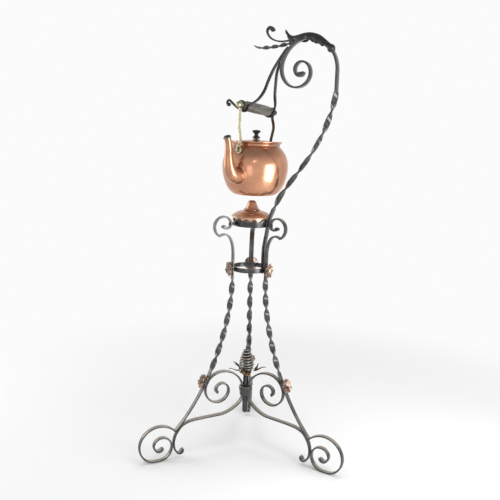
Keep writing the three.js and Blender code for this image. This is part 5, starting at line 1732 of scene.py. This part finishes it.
@dataclass
class CraneArm:
    """The arm that sweeps out and over, with what is worked onto its crown."""

    width: float = 14.4
    thickness: float = 4.1
    bead_turn: float = 41.0
    half_turns: float = 6.0
    twig_half_turns: float = 5.0

    def build(self) -> None:
        """Makes the arm, the bead, the leaf and the two twigs."""
        self.arm().piece("crane_arm_forged", ARM_IRON, "stand", "crane_arm")
        self.bead()
        self.leaf().piece("leaf_worked", DARK_IRON, "stand", "acanthus_leaf", sharp=60)
        self.twisted_twig().piece("twig_twisted", IRON, "stand", "twisted_twig")
        self.curl_twig().piece("twig_curled", DARK_IRON, "stand", "curl_twig")

    def arm(self) -> Skin:
        """Forges the bar from the ring, past the gallery, over the crown and into its great scroll.

        Returns:
            The arm's skin.
        """
        at = np.array
        foot, ring = at([LEVELS.arm_ring_radius, 402.0]), at([LEVELS.arm_ring_radius, 448.0])
        stud = at([LEVELS.arm_gallery_radius, LEVELS.stud])
        lean, waist, end = at([54.0, 542.0]), at([112.0, 627.0]), at([182.6, 780.0])
        start = at(CROWN.start)
        sweep = np.vstack([Bow(lean, 68, 32, waist, 51.5, 34).points(60),
            Bow(waist, 51.5, 58, end, 83, 58).points(90)[1:]])
        arch = curl(start, 90, *CROWN.radii, CROWN.turn)
        scroll = curl(arch[-1], 90 + CROWN.turn, 42.8, 20, 250)
        eye = curl(scroll[-1], 340 + CROWN.turn, 19, 3, 325)
        run = Run.join(np.linspace(foot, ring, 14), Bow(ring, 90, 20, stud, 87, 22).points(24),
            Bow(stud, 87, 7, lean, 68, 13).points(16), (evenly(sweep, 120), self.half_turns),
            np.linspace(end, start, 10), arch, scroll, eye)
        s, total = run.along, run.along[-1]
        thick = self.thickness - 0.7 * (1 - smooth(100, 170, s)) + 6.4 * smooth(total - 22, total - 5, s)
        beside_kettle = smooth(130, 190, s) * (1 - smooth(290, 350, s))
        wide = self.width * (1 - 0.06 * (1 - smooth(100, 150, s)) - 0.27 * beside_kettle
            - 0.2 * smooth(total - 620, total - 470, s))
        return forged_bar(run, wide, thick, 9.0)

    def bead(self) -> None:
        """The bead forged round the bar, with a thin ring on each side of it."""
        middle = CROWN.at(self.bead_turn)
        profile = [(0, -8), (3.2, -7.9), (4.9, -7.2), (5.3, -6.4), (4.9, -5.8), (6.2, -4.9), (7.6, -2.6), (8, 0),
            (7.6, 2.6), (6.2, 4.9), (4.9, 5.8), (5.3, 6.4), (4.9, 7.2), (3.2, 7.9), (0, 8)]
        skin = lathe([(r, z, 0.3 if abs(r) > 7 else 0.0) for r, z in profile], 48)
        skin.moved(onto(middle, heading(90 + self.bead_turn))).piece("bead_forged", DARK_IRON, "stand", "arm_bead")

    def leaf(self) -> Skin:
        """Shapes an acanthus leaf folded over the bar, with three drooping lobes on each side.

        Returns:
            The leaf's skin.
        """
        knots = [CROWN.at(48.8, 4.2), CROWN.at(58, 4.7), CROWN.at(72, 7.6), CROWN.at(87, 9.6),
            CROWN.at(100, 10.4), (86.4, 886.3), (75, 889), (65.3, 899.5)]
        count = 150
        spine, t = spline(knots, count - 1), np.linspace(0, 1, count)
        tangent = unit(np.gradient(spine, axis=0))
        normal = np.stack([tangent[:, 1], -tangent[:, 0]], 1)
        shrink = np.where(t < 0.55, 1, (np.maximum(1 - t, 0) / 0.45) ** 0.72)
        phase = 3 * t / 0.55 - 0.35
        lobe = 0.62 + 0.42 * np.abs(np.cos(math.pi * phase)) ** 0.7
        u = np.linspace(-1, 1, 27)
        hang = np.maximum(0.3, 15.5 * shrink * lobe * np.minimum(1, 0.5 + 3 * t))
        edge = np.maximum(0.8, 10.2 * shrink * (0.52 + 0.48 * lobe))
        fold = np.abs(u) ** 0.62
        across = np.sign(u) * edge[:, None] * np.minimum(1, 1.25 * fold) * (1 + 0.1 * np.abs(u) ** 3)
        veins = 0.3 * shrink[:, None] * np.cos(2 * math.pi * 3 * phase)[:, None] * np.abs(u) ** 0.8 * (1 - u * u)
        crest = 0.45 * shrink[:, None] * np.exp(-((u / 0.12) ** 2))
        top = -hang[:, None] * np.abs(u) ** 1.75 + crest + veins * 0.8
        under = top - 1.0 * np.maximum(0.45, shrink)[:, None] * (1 - 0.4 * u**4)
        lift = np.concatenate([top, under[:, ::-1]], 1)
        y = np.concatenate([across, across[:, ::-1] * 0.985], 1)
        rings = np.stack([spine[:, :1] + normal[:, :1] * lift, y, spine[:, 1:] + normal[:, 1:] * lift], 2)
        wear = np.append(u, u[::-1])
        return Skin().rings(rings, np.maximum(smooth(0.85, 1, np.abs(wear)), np.exp(-((wear / 0.15) ** 2)) * 0.8))

    def twisted_twig(self) -> Skin:
        """Forges a strip twisted to a point under the leaf.

        Returns:
            The strip's skin.
        """
        places = [(turn, 3.2) for turn in (76, 80, 84, 87, 91, 95, 98, 103, 108)] + [(118, 3.5)]
        root = np.array([CROWN.at(*place) for place in places])
        tip = spline([root[-1], (79, 873.3), (58, 869.7), (33, 867.4), (8, 867), (-3, 869.4), (-9, 873)], 90)
        run = Run.join(root, (evenly(tip, 110), self.twig_half_turns))
        left = run.along[-1] - run.along
        wide = 7.8 * np.minimum(1, 0.6 + run.along / 60) * np.minimum(1, 0.22 + left / 38)
        return forged_bar(run, wide, 2.7 * np.minimum(1, 0.5 + left / 30), 3.0)

    def curl_twig(self) -> Skin:
        """Forges a flat strip with a thick blunt curl.

        Returns:
            The strip's skin.
        """
        places = [(78, 5.7), (89, 5.7), (99, 6.1)]
        run = Run.join(spline([*(CROWN.at(*place) for place in places), (89, 880), (73, 877.4), (52, 877.2),
            (34, 882.9), (23.4, 893.2), (22.9, 901.4), (28.8, 904.6), (34.8, 901.2), (36.4, 896.6)], 130))
        share = run.along / run.along[-1]
        return forged_bar(run, 7.6 * (1 - 0.18 * share), 3.0 * (1 + 1.6 * smooth(0.82, 0.96, share)), 6.0)


@dataclass
class Hooks:
    """Two roped rods that run down the crown and turn up under the grip."""

    radius: float = 2.5
    spread: float = 48.0
    trough: float = 10.7
    off_crown: float = 4.5
    beside: float = 2.55

    def build(self) -> None:
        """Makes the front and the rear hook."""
        for name, side in SIDES:
            self.hook(side).piece(f"roped_hook_{name}", DARK_IRON, "stand", f"hook_{name}", sharp=60)

    def hook(self, side: int) -> Skin:
        """One hook, from its weld on the crown to the ball at its tip.

        Args:
            side: -1 for the front one, 1 for the rear one.

        Returns:
            The hook's skin.
        """
        y, trough, beside = side * self.spread, self.trough, self.beside
        axis = np.array([LEVELS.kettle_x, LEVELS.grip - LEVELS.grip_slope * y])
        knots, low = [CROWN.at(k, self.off_crown) for k in (136, 142, 147)], axis + [trough, 0]
        leaving = knots[-1]
        points = [(p[0], side * beside, p[1]) for p in knots]
        for rise, reach, spread in ((0.87, 0.8, 0.075), (0.68, 0.59, 0.16), (0.48, 0.46, 0.3), (0.28, 0.36, 0.44),
                                    (0.12, 0.24, 0.7)):
            points.append((low[0] + (leaving[0] - low[0]) * reach, side * max(beside, spread * self.spread),
                low[1] + (leaving[1] - low[1]) * rise))
        for degrees in (-5, -40, -75, -110):
            p = heading(degrees) * trough + axis
            points.append((p[0], y, p[1]))
        points.append((axis[0] - trough * 1.55, y, axis[1] - trough * 0.35))
        points.append((axis[0] - trough * 2.7, y, axis[1] + trough * 0.45))
        tip = curl(np.array([axis[0] - trough * 3.1, axis[1] + trough * 0.8]), 125, 5.4, 3.6, 250, 50)
        points += [(p[0], y, p[1]) for p in tip]
        path = spline(points, 320, 0.25)
        s = lengths(path)
        radii = self.radius * np.minimum(1, 0.55 + s / 22) * (1 + 0.55 * smooth(s[-1] - 5, s[-1] - 1.5, s))
        radii *= 1 + 0.3 * smooth(15, 60, s) * (1 - smooth(s[-1] - 115, s[-1] - 85, s))
        return sweep_rod(path, radii, 18, lobes=3, pitch=13.0)


@dataclass
class SpiritLamp:
    """A copper lamp bowl under a low dome, with its burner, filler and snuffer."""

    floor: float = 503.5
    rim: float = 43.3
    dome_foot: float = 521.3
    dome_top: float = 536.3
    wall: float = 1.1

    def dome_height(self, radius: Array | float) -> Array | float:
        """The dome's height at a radius."""
        return self.dome_foot + self.wall + 13.9 * (1 - np.clip(radius / 43.4, 0, 1) ** 2.4) ** 0.8

    def build(self) -> None:
        """Makes every piece of the lamp."""
        f = self.floor
        bowl = raised([(0, 0), (31.2, 0), (34.6, 2.4), (36.1, 7), (37.7, 17), (37.5, 17.4), (36.9, 17.4), (36.6, 17),
            (35.1, 7), (33.5, 3.6), (31.2, self.wall), (0, self.wall)], f)
        lathe(bowl, 96, soft=0.6).piece("spirit_bowl", LAMP_COPPER, "lamp", "lamp_bowl")
        self.dome()
        holder = raised([(4.55, -12), (5.35, -12), (5.35, 0.3), (9.3, 0.3), (9.3, 1.1), (8.4, 1.5), (5.7, 1.7),
            (5.35, 2.2), (5.35, 9.6), (5, 10), (4.55, 9.8)], self.dome_top)
        lathe(holder, 48, True, 0.3).piece("burner_tube", BRASS, "lamp", "wick_tube")
        low, high = f + 1.4, self.dome_top + 11.6
        z = np.linspace(low + 2.4, high - 2.6, 60)
        path = np.stack([0 * z, 0 * z, z], 1)
        wick = sweep_rod(path, np.minimum(4.1, 3.2 + (high - z) * 0.35), 36, lobes=6, pitch=26.0)
        wick.piece("braided_wick", COTTON, "lamp", "wick", sharp=70)
        self.snuffer()

    def dome(self) -> None:
        """The dome, pierced for the filler, the eyelet set in it, and a dark sleeve in the hole as painted shade."""
        radii = np.concatenate([np.linspace(1, 0.9, 8), np.linspace(0.88, 0.14, 26)]) * self.rim
        outer = [(r, self.dome_height(r)) for r in radii]
        inner = [(r - 0.6, z - self.wall) for r, z in outer if 8 < r < 37][::-1]
        t = self.dome_top
        profile = [(5.8, t - self.wall), *inner, (35.1, self.dome_foot), (42.6, self.dome_foot),
            (43.3, self.dome_foot + 0.5), *outer, (5.8, t)]
        mesh = lathe(profile, 128, True, 0.4).mesh("lamp_cover")
        radius, azimuth = 31.0, -57.0
        slope = float(self.dome_height(radius + 0.5) - self.dome_height(radius - 0.5))
        seat = Matrix.Rotation(math.radians(azimuth), 4, "Z")
        seat @= Matrix.Translation((radius, 0, float(self.dome_height(radius))))
        seat @= Matrix.Rotation(-math.atan(slope), 4, "Y")
        drill = lathe([(0, -6), (3.55, -6), (3.55, 6), (0, 6)], 32).moved(seat)
        cutter = shown(bpy.data.objects.new("filler_drill", drill.mesh("filler_drill")))
        cover = shown(bpy.data.objects.new("cover_blank", mesh))
        boolean = cover.modifiers.new("filler", "BOOLEAN")
        boolean.operation, boolean.solver, boolean.object = "DIFFERENCE", "EXACT", cutter
        made = evaluated(cover, "lamp_cover")
        bpy.data.objects.remove(cutter)
        tidy_mesh(made.data, SHARP)
        settle(made, LAMP_COPPER, "lamp", "lamp_dome")
        ring = [(2.6, -3), (3.45, -3), (3.45, 0.5), (4.6, 0.55), (4.7, 0.9), (4.3, 1.35), (3.4, 1.5), (2.8, 1.2)]
        lathe(ring, 40, True, 0.25).moved(seat).piece("filler_ring", LAMP_COPPER, "lamp", "filler_eyelet")
        # Painted shade: a dark sleeve inside the filler hole, so the hole reads dark.
        sleeve = [(0, -2.9), (2.58, -2.9), (2.58, 0.9), (2.3, 0.9), (2.2, -2.4), (0, -2.5)]
        lathe(sleeve, 32).moved(seat).piece("filler_shade_sleeve", DARK_IRON, "lamp")

    def snuffer(self) -> None:
        """The bell that stands over the burner."""
        foot, height = float(self.dome_height(15.12)) + 0.3, 20.5
        knots = [(15.2, 0), (17.3, 0.03), (17.4, 0.08), (15.2, 0.12), (14.2, 0.19), (13.2, 0.28), (12.0, 0.4),
            (10.8, 0.54), (9.7, 0.68), (8.8, 0.8), (7.9, 0.88), (6.4, 0.95), (4.4, 0.985)]
        outer = [(r, foot + height * k) for r, k in knots]
        inner = [(r - 1.2, z - 0.3) for r, z in outer[3:-1]]
        top = foot + height
        profile = [(0, top), *outer[::-1], (14.4, foot), *inner, (4.9, top - 1.3), (0, top - 1.3)]
        lathe(profile, 96, soft=0.35).piece("bell_snuffer", SNUFFER_COPPER, "snuffer", "snuffer")


def at_kettle(skin: Skin) -> Skin:
    """Moves what is made about its own axis over to the kettle's."""
    return skin.moved(Matrix.Translation((LEVELS.kettle_x, 0, 0)))


@dataclass
class Kettle:
    """The copper kettle with its swan-neck spout, lid and black knob."""

    base: float = 568.8
    belly_radius: float = 69.0
    neck_radius: float = 49.6
    wall: float = 1.4
    spout_root: float = 612.0
    spout_wall: float = 1.1

    def build(self) -> None:
        """Makes each piece of the kettle."""
        self.body()
        self.spout()
        self.ears()
        self.lid()
        self.knob()

    def belly(self, inset: float, count: int) -> Array:
        """Draws the belly's profile from the base's edge to the neck.

        Args:
            inset: how far inside the outer face it lies.
            count: how many points each half has.

        Returns:
            The profile, as radius and height.
        """
        b, r, narrow, t = self.base, self.belly_radius - inset, self.neck_radius - inset, np.linspace(0, 1, count)
        middle, neck = b + 60, b + 101
        lower = bezier((38.0, b + inset), (55.0 - inset, b + 1 + inset), (r, middle - 30), (r, middle), t)
        upper = bezier((r, middle), (r, middle + 21), (narrow + 8, neck - 7 - inset * 0.6), (narrow, neck), t)
        return np.vstack([lower, upper[1:]])

    def radius_at(self, height: float) -> float:
        """The belly's radius at a height."""
        profile = self.belly(0, 60)
        return float(np.interp(height, profile[:, 1], profile[:, 0]))

    def body(self) -> None:
        """The raised body with its flared neck and rolled rim."""
        outer = self.belly(0, 44)
        flare = raised([(49.35, 0.9), (49.9, 1.9), (50.2, 3.2), (50.9, 4.9), (51.9, 6.2), (52.9, 7.2), (53.9, 7.6),
            (54.35, 8.4), (54.3, 9.3), (53.6, 9.9), (52.6, 10), (51.5, 9.4), (51.2, 8.5), (50.0, 6.6), (49.2, 5.2),
            (48.8, 3.4), (48.4, 1.4)], self.base + 101)
        worn = [0, 0.3, 0.2, 0.2, 0.3, 0.6, 0.9, 1, 1, 0.9, 0.6, 0.3, 0, 0, 0, 0, 0]
        inner = self.belly(self.wall, 34)[::-1]
        profile = [(0, self.base + 0.8, 0), (32, self.base + 0.6, 0), (35.5, self.base, 0.4),
            *((r, z, 0.35 if z < self.base + 1 else 0) for r, z in outer),
            *((r, z, w) for (r, z), w in zip(flare, worn)), *((r, z, 0) for r, z in inner),
            (0, self.base + self.wall, 0)]
        at_kettle(lathe(profile, 160)).piece("copper_body", COPPER, "kettle", "kettle_body")

    def spout(self) -> None:
        """The swan-neck spout, its lipped tip and the riveted flange at its root."""
        run = spline([(-45, 612), (-60, 611), (-74, 611), (-86, 617), (-93.5, 630), (-96.8, 646), (-97.4, 662),
            (-99.4, 676), (-103.6, 687.5)], 84)
        t = np.linspace(0, 1, len(run))
        radii = np.interp(t, (0, 0.14, 0.25, 0.36, 0.48, 0.6, 0.72, 0.85, 1),
            (19, 18.2, 16.4, 13.9, 11.3, 9.2, 7.8, 7, 6.3))
        radii = np.convolve(np.pad(radii, 5, mode="edge"), np.ones(11) / 11, "valid")
        keep = run[:, 0] < -(np.interp(run[:, 1], *self.belly(0, 60).T[::-1]) - 9)
        path = np.stack([0 * t, run[:, 0], run[:, 1]], 1)[keep]
        radii = radii[keep]
        radii += 0.45 * smooth(len(radii) - 5, len(radii) - 1, np.arange(len(radii)))
        at_kettle(tube(path, radii, self.spout_wall, 48)).piece("swan_spout", COPPER, "kettle", "spout")
        self.lip(path[-1], path[-1] - path[-3], float(radii[-1]))
        self.flange()

    def lip(self, tip: Array, direction: Array, radius: float) -> None:
        """The dark pouring lip worked round the spout's tip.

        Args:
            tip: the tip's middle.
            direction: the way the spout ends.
            radius: its radius there.
        """
        ring = lathe([(radius - 1.3, -2), (radius + 0.35, -2.4), (radius + 0.5, 0.3), (radius, 0.9),
            (radius - 1.3, 0.7)], 40, True, 0.4)
        t = np.linspace(0, 1, 12)
        spine = np.stack([radius - 1.4 + 7.4 * t, 0.3 - 1.2 * t**2], 1)
        beak = blade(spine, 3.2 - 2.3 * t, np.full(12, 1.3), 0.9 - 0.6 * t)
        turn = Vector((0, 0, 1)).rotation_difference(Vector(direction)).to_matrix().to_4x4()
        place = Matrix.Translation(Vector(tip)) @ turn @ Matrix.Rotation(-math.pi / 2, 4, "Z")
        at_kettle(ring.add(beak).moved(place)).piece("pouring_lip", POLISHED_IRON, "kettle")

    def flange(self) -> None:
        """The flange that follows the belly round the spout's root, and its rivets."""
        centre, rings = self.spout_root, []
        for a in around(72):
            section = []
            for reach, proud in ((16.9, -0.3), (17, 0.9), (18.4, 0.95), (20.6, 0.8), (21, 0.45), (21, -0.3)):
                reach *= 1 + 0.07 * math.sin(a) ** 2
                dx, z = reach * math.cos(a), centre + reach * math.sin(a)
                r = self.radius_at(z) + proud
                section.append((dx, -math.sqrt(max(r * r - dx * dx, 1)), z))
            rings.append(section)
        wear = np.array([0, 0.2, 0, 0.5, 1, 0])
        at_kettle(Skin().rings(np.array(rings), wear, True)).piece("spout_flange", COPPER, "kettle")
        places, ways = [], []
        for k in range(7):
            a = 2 * math.pi * (k + 0.5) / 7
            dx, z = 19.7 * math.cos(a), centre + 20.6 * math.sin(a)
            r = self.radius_at(z) + 0.7
            y = -math.sqrt(r * r - dx * dx)
            places.append((dx + LEVELS.kettle_x, y, z))
            ways.append((dx / r, y / r, (z - self.base - 60) / 70 * 0.5))
        heads = Rivets().heads("spout_rivets", np.array(places), np.array(ways), 1.25, 0.9, COPPER)
        settle(heads, COPPER, "kettle")

    def ears(self) -> None:
        """The pins that the straps turn on."""
        root = self.radius_at(LEVELS.ears) - 1.6
        profile = [(0, root), (5.5, root), (5.5, 60.4), (3.9, 62), (2.6, 62.1), (2.6, 64.9), (4.5, 64.9), (4.6, 65.5),
            (3.9, 66.4), (2.4, 66.8), (0, 66.9)]
        for name, side in SIDES:
            turn = Matrix.Translation((0, 0, LEVELS.ears)) @ Matrix.Rotation(-side * math.pi / 2, 4, "X")
            skin = lathe(profile, 36, soft=0.35).moved(turn)
            # The rear pin's darker brass is painted shade.
            at_kettle(skin).piece(f"ear_pin_{name}", PIN_BRASS if side < 0 else SHADED_REAR_BRASS, "kettle", f"ear_{name}")

    def lid(self) -> None:
        """The low domed lid with its skirt."""
        seat, rim = 676.1, 48.6
        radii = np.concatenate([np.linspace(rim, rim * 0.9, 5), np.linspace(rim * 0.86, 2.2, 26)])
        outer = [(r, seat + 7 - 6.4 * (r / 48.7) ** 2.2) for r in radii]
        inner = [(r, z - 1.2) for r, z in outer if r < 44][::-1]
        profile = [(2.1, seat + 5.8), *inner, (46, seat - 0.6), (45.4, seat - 7), (46.5, seat - 7),
            (47.1, seat - 0.1), (48.4, seat), (48.6, seat + 0.3), *outer, (2.1, seat + 7)]
        at_kettle(lathe(profile, 128, True, 0.3)).piece("domed_lid", COPPER, "lid", "lid")

    def knob(self) -> None:
        """The turned black knob on its copper foot."""
        top = 683.1
        stem = raised([(0, -3.1), (3.6, -2.8), (4, -2.4), (4, -1.5), (1.8, -1.5), (1.8, 0.3), (7.5, 0.3), (7.3, 1),
            (5.6, 2.4), (1.8, 2.5), (1.8, 11.5), (0, 11.5)], top)
        at_kettle(lathe(stem, 48, soft=0.3)).piece("knob_foot", COPPER, "lid", "knob_stem")
        foot = top + 2.8
        shape = [(0.62, 0), (0.86, 0.02), (0.92, 0.06), (0.92, 0.15), (0.8, 0.2), (0.58, 0.25), (0.5, 0.33),
            (0.47, 0.43), (0.5, 0.53), (0.6, 0.62), (0.82, 0.68), (0.95, 0.73), (1, 0.8), (0.98, 0.86), (0.88, 0.92),
            (0.68, 0.96), (0.4, 0.99), (0, 1)]
        profile = [(0, top + 11.8), (2.1, top + 11.8), (2.1, foot), *((9 * u, foot + 17.4 * v) for u, v in shape)]
        at_kettle(lathe(profile, 64, soft=0.3)).piece("turned_knob", EBONY, "lid", "lid_knob")


def tube(path: Array, radii: Array, wall: float, sides: int) -> Skin:
    """A hollow tube along a path.

    Args:
        path: its middle line.
        radii: its outer radius at each point.
        wall: its wall.
        sides: how many sides it has.

    Returns:
        The tube's skin.
    """
    shell, bore = (sweep_rod(path, r, sides, flat=True).points.reshape(-1, sides, 3) for r in (radii, radii - wall))
    rings = np.concatenate([shell, bore[::-1]], 0)
    wear = np.zeros((len(rings), sides))
    wear[len(path) - 2 : len(path) + 2] = 0.9
    return Skin().rings(rings, wear, closed=True)


@dataclass
class Handle:
    """The sloping wooden grip between two brass straps."""

    grip_half: float = 56.0
    strap_width: float = 6.4
    strap_thickness: float = 2.1
    strap_top: float = 61.7
    strap_foot: float = 63.5
    eye_radius: float = 6.9

    def build(self) -> None:
        """Makes the grip, its caps, the rod, the nuts and the straps."""
        self.grip()
        rod = [(0, -70), (1.9, -69.8), (2.3, -69.3), (2.35, 69.3), (1.9, 69.8), (0, 70)]
        self.on_rod(lathe(rod, 32), 1).piece("handle_rod", BRASS, "bail", "tie_rod")
        cap = [(2.7, 56.3), (9.3, 56.3), (9.9, 57), (9.6, 58.3), (9.9, 59.5), (9.3, 60.2), (2.7, 60.2)]
        nut = [(2.7, 63.1), (4.2, 63.1), (4.5, 63.6), (4.4, 64.1), (5.3, 64.9), (5.85, 66.3), (6, 67.8), (5.8, 69.2),
            (5.1, 70.8), (3.9, 72.2), (2.3, 73.2), (0.9, 73.6), (0, 73.65), (0, 70.4), (2.7, 70.4)]
        for name, side in SIDES:
            end = self.on_rod(lathe(cap, 56, True, 0.4), side)
            end.piece(f"grip_end_{name}", EBONY, "grip", f"grip_cap_{name}")
            # The rear nut and strap take the darker brass as painted shade.
            finish = BRASS if side < 0 else SHADED_REAR_BRASS
            ball = self.on_rod(lathe(nut, 48, True, 0.3), side)
            ball.piece(f"round_nut_{name}", finish, "bail", f"ball_nut_{name}")
            self.strap(side, 63.0 if side < 0 else 67.0).piece(f"brass_strap_{name}", finish, "bail", f"strap_{name}")

    def on_rod(self, skin: Skin, side: int) -> Skin:
        """Turns what is made along Z onto the handle's rod, towards the front or the rear."""
        turn = Matrix.Rotation(-math.atan(LEVELS.grip_slope), 4, "X") @ Matrix.Rotation(-side * math.pi / 2, 4, "X")
        return skin.moved(Matrix.Translation((LEVELS.kettle_x, 0, LEVELS.grip)) @ turn)

    def grip(self) -> None:
        """The turned wooden barrel, necked down where the hooks hold it."""
        u = np.concatenate([np.linspace(1, 0.785, 8), np.linspace(0.75, -0.75, 41), np.linspace(-0.785, -1, 8)])
        swell = 8.6 + 2 * np.sqrt(np.maximum(0, 1 - u * u / 0.9))
        radius = np.where(np.abs(u) > 0.77, 7.6, swell)
        radius = radius - 0.28 * np.exp(-(((np.abs(u) - 0.7) / 0.008) ** 2))
        barrel = [(r, self.grip_half * v) for r, v in zip(radius, u)]
        profile = [(2.7, self.grip_half), *barrel, (2.7, -self.grip_half)]
        self.on_rod(lathe(profile, 72, True, 0.8), 1).piece("wooden_grip", WOOD, "grip", "grip")

    def strap(self, side: int, belly: float) -> Skin:
        """One strap, with an eye at each end.

        Args:
            side: -1 for the front one, 1 for the rear one.
            belly: how far out it bows.

        Returns:
            The strap's skin.
        """
        tilt, top = math.atan(LEVELS.grip_slope), side * self.strap_top
        top_y, top_z = top * math.cos(tilt), LEVELS.grip - math.sin(tilt) * top
        foot_y, lean = side * self.strap_foot, math.tan(tilt)
        shape = spline([(foot_y, 669), (side * 58.2, 682), (side * belly, 709), (top_y - 13 * lean, top_z - 13)], 50)
        run = Run.join(np.vstack([[(foot_y, 666.2)], shape, [(top_y - 4 * lean, top_z - 4)]]))
        even, half, wide = np.ones(len(run.points)), self.strap_thickness / 2, self.eye_radius
        section = bar_section(even * self.strap_width, even * self.strap_thickness, 0.5)
        skin = sweep_bar(run, *section).moved(Matrix.Rotation(math.pi / 2, 4, "Z"))
        for y, z, turn, bore in ((foot_y, LEVELS.ears, 0.0, 2.95), (top_y, top_z, tilt, 2.7)):
            eye = lathe([(bore, -half), (wide, -half), (wide, half), (bore, half)], 40, True, 0.5)
            skin.add(eye.moved(Matrix.Translation((0, y, z)) @ Matrix.Rotation(-math.pi / 2 - turn, 4, "X")))
        return at_kettle(skin)


@dataclass
class Studio:
    """A white sweep, soft boxes and the camera."""

    floor_size: float = 60.0
    paper: Colour = (0.84, 0.84, 0.84)
    backdrop: Colour = (0.965, 0.965, 0.965)
    camera_place: tuple[float, float, float] = (0.67355, -1.1218, 0.687)
    pitch: float = 10.08
    heading: tuple[float, float] = (-0.5476, 0.8368)
    roll: float = 2.03
    lens: float = 45.53

    def build(self) -> None:
        """Sets the floor, the world, the lamps and the camera."""
        self.floor()
        self.world()
        self.lamps()
        self.camera()

    def floor(self) -> None:
        """A plain pale floor that keeps the stand's soft shadow."""
        half = self.floor_size / 2
        mesh = bpy.data.meshes.new("pale_floor")
        mesh.from_pydata([(-half, -half, 0), (half, -half, 0), (half, half, 0), (-half, half, 0)], [], [(0, 1, 2, 3)])
        sheet = shown(bpy.data.objects.new("pale_floor", mesh))
        material = bpy.data.materials.new("studio_white")
        bench = Bench.cleared(material)
        far = bench.node("ShaderNodeVectorMath", {"operation": "LENGTH"}, {0: bench.place()}, "Value").ramp(0.42, 1.15)
        near = bench.node("ShaderNodeBsdfDiffuse", None, {"Color": (*self.paper, 1)})
        away = bench.node("ShaderNodeEmission", None, {"Color": (*self.backdrop, 1), "Strength": 1.0})
        fading = bench.node("ShaderNodeMixShader", None, {0: far, 1: near, 2: away})
        bench.node("ShaderNodeOutputMaterial", None, {"Surface": fading})
        mesh.materials.append(material)

    def world(self) -> None:
        """A near-white backdrop that is dimmer where only light leaves it."""
        world = bpy.data.worlds.new("studio")
        bpy.context.scene.world = world
        bench = Bench.cleared(world)
        camera = bench.node("ShaderNodeLightPath", None, None, "Is Camera Ray")
        seen = camera + camera.other("Is Glossy Ray") + camera.other("Is Transmission Ray")
        up = bench.height(bench.place())
        behind = bench.mix(up.ramp(0.28, 0.9), self.backdrop, (0.34, 0.34, 0.345))
        given = bench.mix(up.ramp(0.1, 0.85), (0.68, 0.68, 0.69), (0.36, 0.36, 0.365))
        colour = bench.mix(seen, given, behind)
        mixed = bench.node("ShaderNodeBackground", None, {"Color": colour, "Strength": 1.0})
        bench.node("ShaderNodeOutputWorld", None, {"Surface": mixed})

    def lamps(self) -> None:
        """Soft boxes left, right and above."""
        for name, place, aim, size, watts, mirrored in (
            ("window", (0.92, -0.1, 0.4), (-0.055, 0, 0.5), (0.55, 0.75), 9.0, True),
            ("side_window", (0.36, -1.6, 0.38), (-0.055, 0, 0.5), (0.5, 0.72), 1.3, True),
            ("left_box", (-1.6, -0.5, 0.8), (-0.055, 0, 0.5), (0.45, 1.2), 10.0, True),
            ("flash", (0.8, -1.5, 1.35), (0, 0, 0.6), (0.06, 0.06), 0.5, True),
            ("top_box", (0.1, 0.1, 2.4), (0, 0, 0.3), (2.0, 2.0), 29.0, False),
        ):
            light = bpy.data.lights.new(name, "AREA")
            light.shape, light.size, light.size_y, light.energy = "RECTANGLE", size[0], size[1], watts
            thing = shown(bpy.data.objects.new(name, light))
            thing.location, thing.visible_glossy = place, mirrored
            thing.rotation_euler = (Vector(aim) - Vector(place)).to_track_quat("-Z", "Y").to_euler()

    def camera(self) -> None:
        """The camera at the photograph's angle."""
        camera = bpy.data.cameras.new("camera")
        camera.lens, camera.sensor_width = self.lens, 36.0
        thing = shown(bpy.data.objects.new("camera", camera))
        level, drop = math.cos(math.radians(self.pitch)), math.sin(math.radians(self.pitch))
        forward = Vector((self.heading[0] * level, self.heading[1] * level, -drop))
        turn = forward.to_track_quat("-Z", "Y").to_matrix() @ Matrix.Rotation(math.radians(self.roll), 3, "Z")
        thing.matrix_world = Matrix.Translation(self.camera_place) @ turn.to_4x4()
        bpy.context.scene.camera = thing


def main() -> None:
    """Builds the whole scene."""
    logging.basicConfig(level=logging.INFO, format="%(name)s: %(message)s")
    assemblies = Tripod(), Ironmongery(), Rosettes(), Finial(), CraneArm(), Hooks(), SpiritLamp(), Kettle(), Handle()
    for assembly in assemblies:
        assembly.build()
        LOG.info("%s is built", type(assembly).__name__)
    Studio().build()
    bpy.context.scene.view_settings.view_transform = "Standard"


if __name__ == "__main__":
    main()
